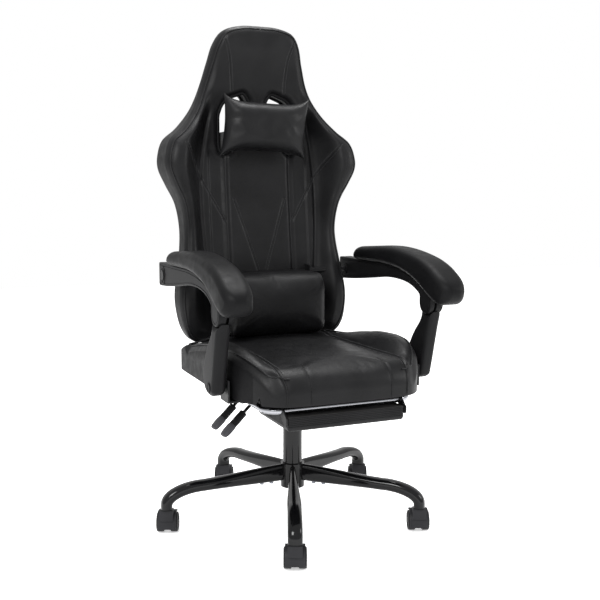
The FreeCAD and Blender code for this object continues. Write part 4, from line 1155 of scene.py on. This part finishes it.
class CHAIR_OT_seat(bpy.types.Operator):
    """Upholster the seat cushion and swell its panels as cloth"""
    bl_idname = "chair.seat"
    bl_label = "Seat"

    def execute(self, context):
        half = smooth_line(SEAT_SIDE, 1.5)
        low = int(np.argmin(np.hypot(*(half - (240, 196)).T)))
        high = int(np.argmin(np.hypot(*(half - (200, -288)).T)))
        plan = patch(np.array([(0, 150), (0, -334)], float), half[low:high + 1], half[:low + 1],
                     half[high:][::-1], edge_shares(54, 0.17, 8), edge_shares(104, 0.09, 8, both=True))
        shell = Shell(plan, seat_top, seat_under, "Z", band=12)
        obj = shell.piece("seat_upholstery", sharp=80)
        spots = np.array([p.co for p in obj.data.vertices]) / MM
        a = np.abs(spots[:, 0])
        seam = seat_seam(spots[:, 1])
        low_down = np.clip((440 - spots[:, 2]) / 14, 0, 1)
        held = np.maximum(low_down, dip(a - seam, 5.0))
        front = (spots[:, 1] < -262) & (spots[:, 2] > 392)
        front_seams = np.maximum(dip(spots[:, 0] + 95, 4), dip(spots[:, 0] - 107, 4))
        held = np.maximum(held, np.where(front, front_seams, 0))
        held = np.maximum(held, smoothstep(spots[:, 1], 120, 140))
        inflate(obj, np.clip(held, 0, 1), 4.0, 12, context.scene.chair_sizes.panel_puff / MM)
        smooth(obj, 80)
        leather = bpy.data.materials["pu_leather_calendered"]
        side = bpy.data.materials["pu_leather_side"]
        finish(obj, "seat", "padded_leatherette", leather, "seat_cushion", fill=0.9)
        # Faces on the seat's sides that do not face up get the leather's darker copy: painted shade.
        obj.data.materials.append(side)
        for polygon in obj.data.polygons:
            middle = polygon.center
            if abs(middle.x) > 0.19 and polygon.normal.z < 0.35 and middle.y > -0.27:
                polygon.material_index = 1
        half = smooth_line(SEAT_SIDE, 3.0)
        whole = counter_clockwise(np.vstack([half, (half * (-1, 1))[::-1][1:-1]]))
        run = whole - outward(whole) * 13
        run = run[(run[:, 0] > 0) & (run[:, 1] < 150) & (run[:, 1] > -322) & (run[:, 0] > 140)]
        run = run[np.argsort(run[:, 1])]
        crest = np.stack([run[:, 0], run[:, 1], seat_top(run[:, 0], run[:, 1]) + 1.5], 1)
        piped("seat_side_piping", both([crest]), 2.0, "seat", leather)
        front = half[(half[:, 1] < -255) & (half[:, 0] > 40)]
        front = front[np.argsort(front[:, 0])]
        lines = []
        for side_of, at in ((1, None), (-1, None), (-1, 95.0), (1, 107.0)):
            last = -330.0
            for _ in range(3):
                across = seat_seam(last) if at is None else at
                last = float(np.interp(across, front[:, 0], front[:, 1]))
            ys = last + 0.3 + (95.0 if at is None else 75.0) * np.linspace(1, 0, 60) ** 2
            xs = side_of * (seat_seam(ys) if at is None else np.full(60, at))
            over = np.stack([xs, ys, seat_top(xs, ys) + 0.3], 1)
            down = np.linspace(over[-1, 2] - 1, 391, 16)
            lines.append(np.vstack([over, np.stack([np.full(16, xs[-1]), np.full(16, last - 0.5), down], 1)]))
        piped("seat_front_welts", lines[:2], 1.5, "seat", leather)
        piped("seat_front_seams", lines[2:], 0.8, "seat", leather, sides=8)
        thread = bpy.data.materials["polyester_thread"]
        rows = []
        ys = np.linspace(-300, 140, 180)
        for gap in (-6.0, 7.0):
            xs = seat_seam(ys) + gap
            rows.append(np.stack([xs, ys, seat_top(xs, ys) + 0.8], 1))
        sewn("seat_stitches", both(rows), "seat", thread)
        return {"FINISHED"}


class CHAIR_OT_armrests(bpy.types.Operator):
    """Make both armrests: padded top, moulded arm and leaning post"""
    bl_idname = "chair.armrests"
    bl_label = "Armrests"

    def execute(self, context):
        nylon = bpy.data.materials["nylon_moulded"]
        skin = bpy.data.materials["pu_skin_moulded"]
        pad_low, pad_high = (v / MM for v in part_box("arm_pad_left"))
        pad_line = softened(cap_outline("arm_pad_left", "X"), 6.0)
        middle = (pad_low.x + pad_high.x) / 2
        turn = np.linspace(0, math.pi / 2, 9)
        rim = [(17 * (1 - math.sin(a)), 24 * (1 - math.cos(a))) for a in turn]
        rings = [(i, pad_low.x + d) for i, d in rim] + [(i, pad_high.x - d) for i, d in rim[::-1]]
        pad = ringed("arm_pad_cover_left", pad_line, rings, "X", 70)
        spots = np.array([v.co for v in pad.data.vertices]) / MM
        nose = np.sqrt(np.clip(1 - np.clip((pad_low.y + 46 - spots[:, 1]) / 52, 0, 1) ** 2.4, 0.05, 1))
        tail = np.sqrt(np.clip(1 - np.clip((spots[:, 1] - pad_high.y + 26) / 40, 0, 1) ** 2.4, 0.05, 1))
        share_along = np.clip((spots[:, 1] - pad_low.y) / (pad_high.y - pad_low.y), 0, 1)
        waist = 0.87 - 0.05 * np.sin(share_along * math.pi)
        spots[:, 0] = middle + (spots[:, 0] - middle) * nose * tail * waist
        pad.data.vertices.foreach_set("co", (spots * MM).ravel())
        smooth(pad, 70)
        frame_low, frame_high = (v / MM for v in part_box("arm_frame_left"))
        outline = softened(cap_outline("arm_frame_left", "X"), 4.5)
        slot_low, slot_high = middle_gap("arm_frame_left", frame_low.x, frame_high.x)
        lip = [(3.4, 0.0), (5.2, 0.0), (5.6, 1.3), (7.4, 1.3), (7.8, 0.0)]
        outer = rounded_rings(slot_high, frame_high.x, 2.6)
        outer = [(0.0, slot_high)] + outer[6:] + [(i, frame_high.x - d) for i, d in lip]
        inner = rounded_rings(frame_low.x, slot_low, 2.6)[:6]
        inner = [(i, frame_low.x + d) for i, d in lip[::-1]] + inner + [(0.0, slot_low)]
        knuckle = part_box("arm_front_pin_left")[0] / MM
        core_line = outline[(outline[:, 1] > knuckle.z + 26) | (outline[:, 0] > knuckle.y + 64)]
        core = ringed("core", core_line, [(0.2, slot_low - 0.2), (0.2, slot_high + 0.2)], "X")
        parts = [ringed("outer", outline, outer, "X", 35), ringed("inner", outline, inner, "X", 35), core]
        hub_z = 638.0
        hub_y = 199.0
        oval = [(hub_y + 21 * math.cos(a), hub_z + 24 * math.sin(a)) for a in np.linspace(0, 2 * math.pi, 48)]
        parts.append(ringed("oval", np.array(oval[:-1]), [(0.5, frame_high.x - 0.5), (0, frame_high.x + 0.9),
                     (1.2, frame_high.x + 1.6), (3.4, frame_high.x + 1.6), (4.4, frame_high.x + 0.6),
                     (4.4, frame_high.x - 0.3)], "X", 35))
        arm = joined("arm_moulding_left", parts)
        post_low, post_high = (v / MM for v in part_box("arm_post_left"))
        post_line = softened(cap_outline("arm_post_left", "X"), 3.2)
        post = ringed("post", post_line, rounded_rings(post_low.x, post_high.x, 12.0, 8), "X", 35)
        arm_pin = (frame_low.x + frame_high.x) / 2
        tongue = [(knuckle.y + 4 + 18 * math.cos(a), knuckle.z + 4 + 18 * math.sin(a))
                  for a in np.linspace(0, 2 * math.pi, 40)[:-1]]
        neck = [(knuckle.y - 8, knuckle.z - 36), (knuckle.y + 18, knuckle.z - 36),
                (knuckle.y + 18, knuckle.z + 4),
                (knuckle.y - 8, knuckle.z + 4)]
        boss = turned_piece("boss", [(0.1, 0), (12, 0), (12, 1.6), (10.8, 2.6), (8.6, 2.6), (8.0, 1.8),
                                     (0.1, 1.8)],
                            (post_high.x - 0.4, -188, 415), (1, 0, 0), 40, 30)
        post = joined("arm_post_moulding_left", [
            post, ringed("tongue", np.array(tongue), [(0, arm_pin - 6), (0, arm_pin + 6)], "X"),
            ringed("neck", np.array(neck, float), [(0, arm_pin - 6), (0, arm_pin + 6)], "X"), boss])
        made = {"left": (pad, arm, post)}
        made["right"] = tuple(mirrored(piece.name.replace("left", "right"), piece) for piece in made["left"])
        for side, _ in SIDES:
            pad, arm, post = made[side]
            finish(pad, "arm_" + side, "padded_leatherette", skin, "arm_pad_" + side, fill=0.8)
            finish(arm, "arm_" + side, "moulded_plastic", nylon, "arm_frame_" + side)
            finish(post, "post_" + side, "moulded_plastic", nylon, "arm_post_" + side)
        return {"FINISHED"}


def middle_gap(node, low, high):
    """Where the slot that takes the post's tongue begins and ends across an arm."""
    spots = np.array([v.co.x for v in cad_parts[node].data.vertices]) / MM
    inside = np.unique(np.round(spots[(spots > low + 1) & (spots < high - 1)], 2))
    centre = (low + high) / 2
    return inside[inside < centre].max(), inside[inside > centre].min()


class CHAIR_OT_base(bpy.types.Operator):
    """Make the five swept legs and the casters under them"""
    bl_idname = "chair.base"
    bl_label = "Base and Casters"

    def execute(self, context):
        enamel = bpy.data.materials["enamel_stoved_gloss"]
        nylon = bpy.data.materials["polypropylene_caster"]
        tyre = bpy.data.materials["polyurethane_wheel"]
        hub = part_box("base_hub")[1].x / MM
        for number in range(1, 6):
            angle = math.radians(-22 + 72 * (number - 1))
            leg = lofted("swept_leg_%d" % number, leg_sections(hub - 4, angle), 45)
            finish(leg, "base", "painted_steel", enamel, "base_leg_%d" % number)
            hood = eased_copy("caster_hood_moulding_%d" % number, "caster_hood_%d" % number, 1.6)
            finish(hood, "caster_%d" % number, "caster_plastic", nylon, "caster_hood_%d" % number)
            axle = sum(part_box("caster_wheels_%d" % number), Vector()) / 2 / MM
            heading = math.radians(-23)
            aim = Vector((math.cos(heading), math.sin(heading), 0))
            profile = [(4.2, 8.2), (22.4, 8.2), (24.4, 9.2), (25.0, 11), (25.0, 23.2), (24.3, 25.4),
                       (22.6, 26.7), (20.4, 27.0), (19.2, 26.2), (18.6, 24.6), (9.4, 24.0), (8.6, 25.6),
                       (7.4, 26.4), (0.1, 26.6)]
            wheels = [turned_piece("wheel", profile, axle, aim * side, 64, 30) for side in (1, -1)]
            wheels.append(turned_piece("axle", [(0.1, -25), (4, -25), (4, 25), (0.1, 25)], axle, aim, 24))
            pair = joined("caster_wheel_pair_%d" % number, wheels)
            finish(pair, "caster_wheels_%d" % number, "caster_plastic", tyre, "caster_wheels_%d" % number)
        return {"FINISHED"}


def leg_sections(root, angle):
    """Cross-sections of one leg: a long taper out from the hub, then an even bend down to the caster."""
    ring, bend, end = 335.0, 97.0, 75.0
    start = ring - bend
    slope = math.atan2(12.0, start - root)
    stations = []
    for part in np.linspace(0, 1, 22, endpoint=False):
        swell = part * part * (3 - 2 * part)
        middle = root + (start - root) * part
        stations.append((middle, 129 - 12 * part, slope, 44 - 15 * swell, 18 + 17 * swell))
    for turn in np.linspace(0, math.pi / 2, 26):
        tilt = math.atan2(42.0 * math.sin(turn), bend * math.cos(turn))
        stations.append((start + bend * math.sin(turn), end + 42.0 * math.cos(turn), max(tilt, slope), 29, 35))
    stations.append((ring, 67.2, math.pi / 2, 29, 35))
    turned = np.linspace(0, 2 * math.pi, 44, endpoint=False)
    sections = []
    for reach, height, tilt, depth, width in stations:
        across = np.sign(np.cos(turned)) * np.abs(np.cos(turned)) ** (2 / 2.6) * width / 2
        along = np.sign(np.sin(turned)) * np.abs(np.sin(turned)) ** (2 / 2.6) * depth / 2
        out = reach + along * math.sin(tilt)
        x = across * math.cos(angle) + out * math.sin(angle)
        y = across * math.sin(angle) - out * math.cos(angle)
        sections.append(np.stack([x, y, height + along * math.cos(tilt)], 1))
    return sections


class CHAIR_OT_levers(bpy.types.Operator):
    """Make the ribbed sleeve and flat paddle on each of the two levers"""
    bl_idname = "chair.levers"
    bl_label = "Levers"

    def execute(self, context):
        pvc = bpy.data.materials["pvc_grip_moulded"]
        abs_grey = bpy.data.materials["abs_paddle_moulded"]
        for name in ("height_lever", "recline_lever"):
            place = (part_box(name + "_rod")[1] / MM).y - 5.5
            knee = Vector((-150, place, 354))
            tip = Vector((-228, place - 16, 287))
            lean = (tip - knee).normalized()
            profile = [(0.1, 36), (7.6, 36), (9.0, 37.4), (9.0, 78), (7.8, 79.2), (0.1, 79.2)]
            sleeve = turned_piece("sleeve", profile, knee, lean, 32, 40)
            sleeve.name = name + "_sleeve"
            finish(sleeve, name, "moulded_plastic", pvc, name + "_grip")
            line = [knee + lean * d for d in np.linspace(39, 76, 12)]
            ribs = along_lines(name + "_ribs", bpy.data.node_groups["Ribs"], [line], Pitch=3.4 * MM,
                               Radius=9.0 * MM, Thickness=0.9 * MM, Material=pvc)
            finish(ribs, name, "moulded_plastic", pvc)
            flat = Vector((0, 1, 0))
            flat = (flat - lean * flat.dot(lean)).normalized()
            thick = lean.cross(flat)
            sections = []
            for d, wide, deep in ((76, 8, 7), (78, 11, 9), (84, 12.8, 9.4), (94, 14.4, 8.8), (104, 15, 7.6),
                                  (109, 14.2, 6.4), (112, 11.4, 5.0), (113, 5.6, 2.6)):
                middle = knee + lean * d
                ring = []
                for a in np.linspace(0, 2 * math.pi, 32, endpoint=False):
                    c, s = math.cos(a), math.sin(a)
                    ring.append(middle + flat * math.copysign(abs(c) ** 0.8, c) * wide
                                + thick * math.copysign(abs(s) ** 0.8, s) * deep)
                sections.append(np.array(ring))
            paddle = lofted(name + "_paddle", sections, 45)
            finish(paddle, name, "moulded_plastic", abs_grey, name + "_grip")
        return {"FINISHED"}


class CHAIR_OT_footrest(bpy.types.Operator):
    """Make the footrest's padded underside with its ribbed edge"""
    bl_idname = "chair.footrest"
    bl_label = "Footrest"

    def execute(self, context):
        low, high = (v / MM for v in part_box("footrest_cushion"))
        outline = softened(np.array([(low.x, low.y), (high.x, low.y), (high.x, high.y), (low.x, high.y)]), 7.0)
        steps = np.linspace(0, math.pi / 2, 6)
        bottom = low.z - 8
        rings = [(9 * (1 - math.sin(a)), bottom + 9 * (1 - math.cos(a))) for a in steps]
        height = bottom + 9
        while height < high.z - 4.5:
            rings += [(0.0, height + 1.6), (0.0, height + 2.6), (0.9, height + 3.1), (0.9, height + 3.5),
                      (0.0, height + 4.0)]
            height += 4.0
        rings += [(0.0, high.z - 1.2), (1.2, high.z)]
        pad = ringed("footrest_pad_cover", outline, rings, "Z", 35)
        leather = bpy.data.materials["pu_leather_calendered"]
        finish(pad, "footrest_pad", "padded_leatherette", leather, "footrest_cushion", fill=0.8)
        return {"FINISHED"}


class CHAIR_OT_stage(bpy.types.Operator):
    """Lay the floor, set the studio lights and place the camera"""
    bl_idname = "chair.stage"
    bl_label = "Stage"

    def execute(self, context):
        points = [(-6000, -6000, -0.6), (6000, -6000, -0.6), (6000, 6000, -0.6), (-6000, 6000, -0.6)]
        floor = new_piece("studio_floor", points, [(0, 1, 2, 3)], mend=False)
        material, tree, place, shader = blank("floor_matt_white")
        speck = add_node(tree, "ShaderNodeTexNoise", {"Vector": place, "Scale": 2.0})
        tree.links.new(varied(tree, speck.outputs["Fac"], linear("#fdfdfd"), linear("#ffffff")),
                       shader.inputs["Base Color"])
        shader.inputs["Roughness"].default_value = 0.9
        shader.inputs["Specular IOR Level"].default_value = 0.1
        shader.inputs["Emission Color"].default_value = (1, 1, 1, 1)
        shader.inputs["Emission Strength"].default_value = 0.45
        floor.data.materials.append(material)
        world = bpy.data.worlds.new("pale_studio")
        context.scene.world = world
        world.use_nodes = True
        world.node_tree.nodes["Background"].inputs["Color"].default_value = (1, 1, 1, 1)
        world.node_tree.nodes["Background"].inputs["Strength"].default_value = 1.0
        for name, place, aim, size, power in (
                ("key_softbox", (-2.2, -2.4, 2.6), (0, 0, 0.7), 1.3, 110),
                ("fill_softbox", (2.6, -1.6, 1.6), (0, 0, 0.6), 1.0, 34),
                ("top_softbox", (0.2, 0.4, 3.0), (0, 0, 0.6), 1.2, 72)):
            light = bpy.data.lights.new(name, "AREA")
            light.size = size
            light.energy = power
            lamp = bpy.data.objects.new(name, light)
            lamp.location = place
            lamp.rotation_euler = (Vector(aim) - Vector(place)).to_track_quat("-Z", "Y").to_euler()
            context.scene.collection.objects.link(lamp)
        view = bpy.data.cameras.new("camera")
        view.sensor_width = 36
        view.lens = 54.04
        view.shift_x = 0.0127
        camera = bpy.data.objects.new("camera", view)
        camera.location = (-0.898, -2.109, 0.863)
        camera.rotation_euler = (math.radians(90 - 7.02), 0, math.radians(-23.06))
        context.scene.collection.objects.link(camera)
        context.scene.camera = camera
        context.scene.view_settings.view_transform = "Standard"
        return {"FINISHED"}


STEPS = (CHAIR_OT_finishes, CHAIR_OT_backrest, CHAIR_OT_head_pillow, CHAIR_OT_lumbar_pillow, CHAIR_OT_seat,
         CHAIR_OT_armrests, CHAIR_OT_base, CHAIR_OT_levers, CHAIR_OT_footrest, CHAIR_OT_stage)


class CHAIR_PT_panel(bpy.types.Panel):
    """Sizes, colours and build steps of the chair"""
    bl_label = "Racing Chair"
    bl_idname = "CHAIR_PT_panel"
    bl_space_type = "VIEW_3D"
    bl_region_type = "UI"
    bl_category = "Chair"

    def draw(self, context):
        for group in (context.scene.chair_sizes, context.scene.chair_colours):
            box = self.layout.box()
            for name in group.__annotations__:
                box.prop(group, name)
        for step in STEPS:
            self.layout.operator(step.bl_idname)


CLASSES = (ChairSizes, ChairColours) + STEPS + (CHAIR_PT_panel,)


def register():
    for one in CLASSES:
        bpy.utils.register_class(one)
    bpy.types.Scene.chair_sizes = bpy.props.PointerProperty(type=ChairSizes)
    bpy.types.Scene.chair_colours = bpy.props.PointerProperty(type=ChairColours)


def unregister():
    del bpy.types.Scene.chair_colours
    del bpy.types.Scene.chair_sizes
    for one in reversed(CLASSES):
        bpy.utils.unregister_class(one)


def main():
    register()
    for step in STEPS:
        group, name = step.bl_idname.split(".")
        getattr(getattr(bpy.ops, group), name)()


if __name__ == "__main__":
    main()
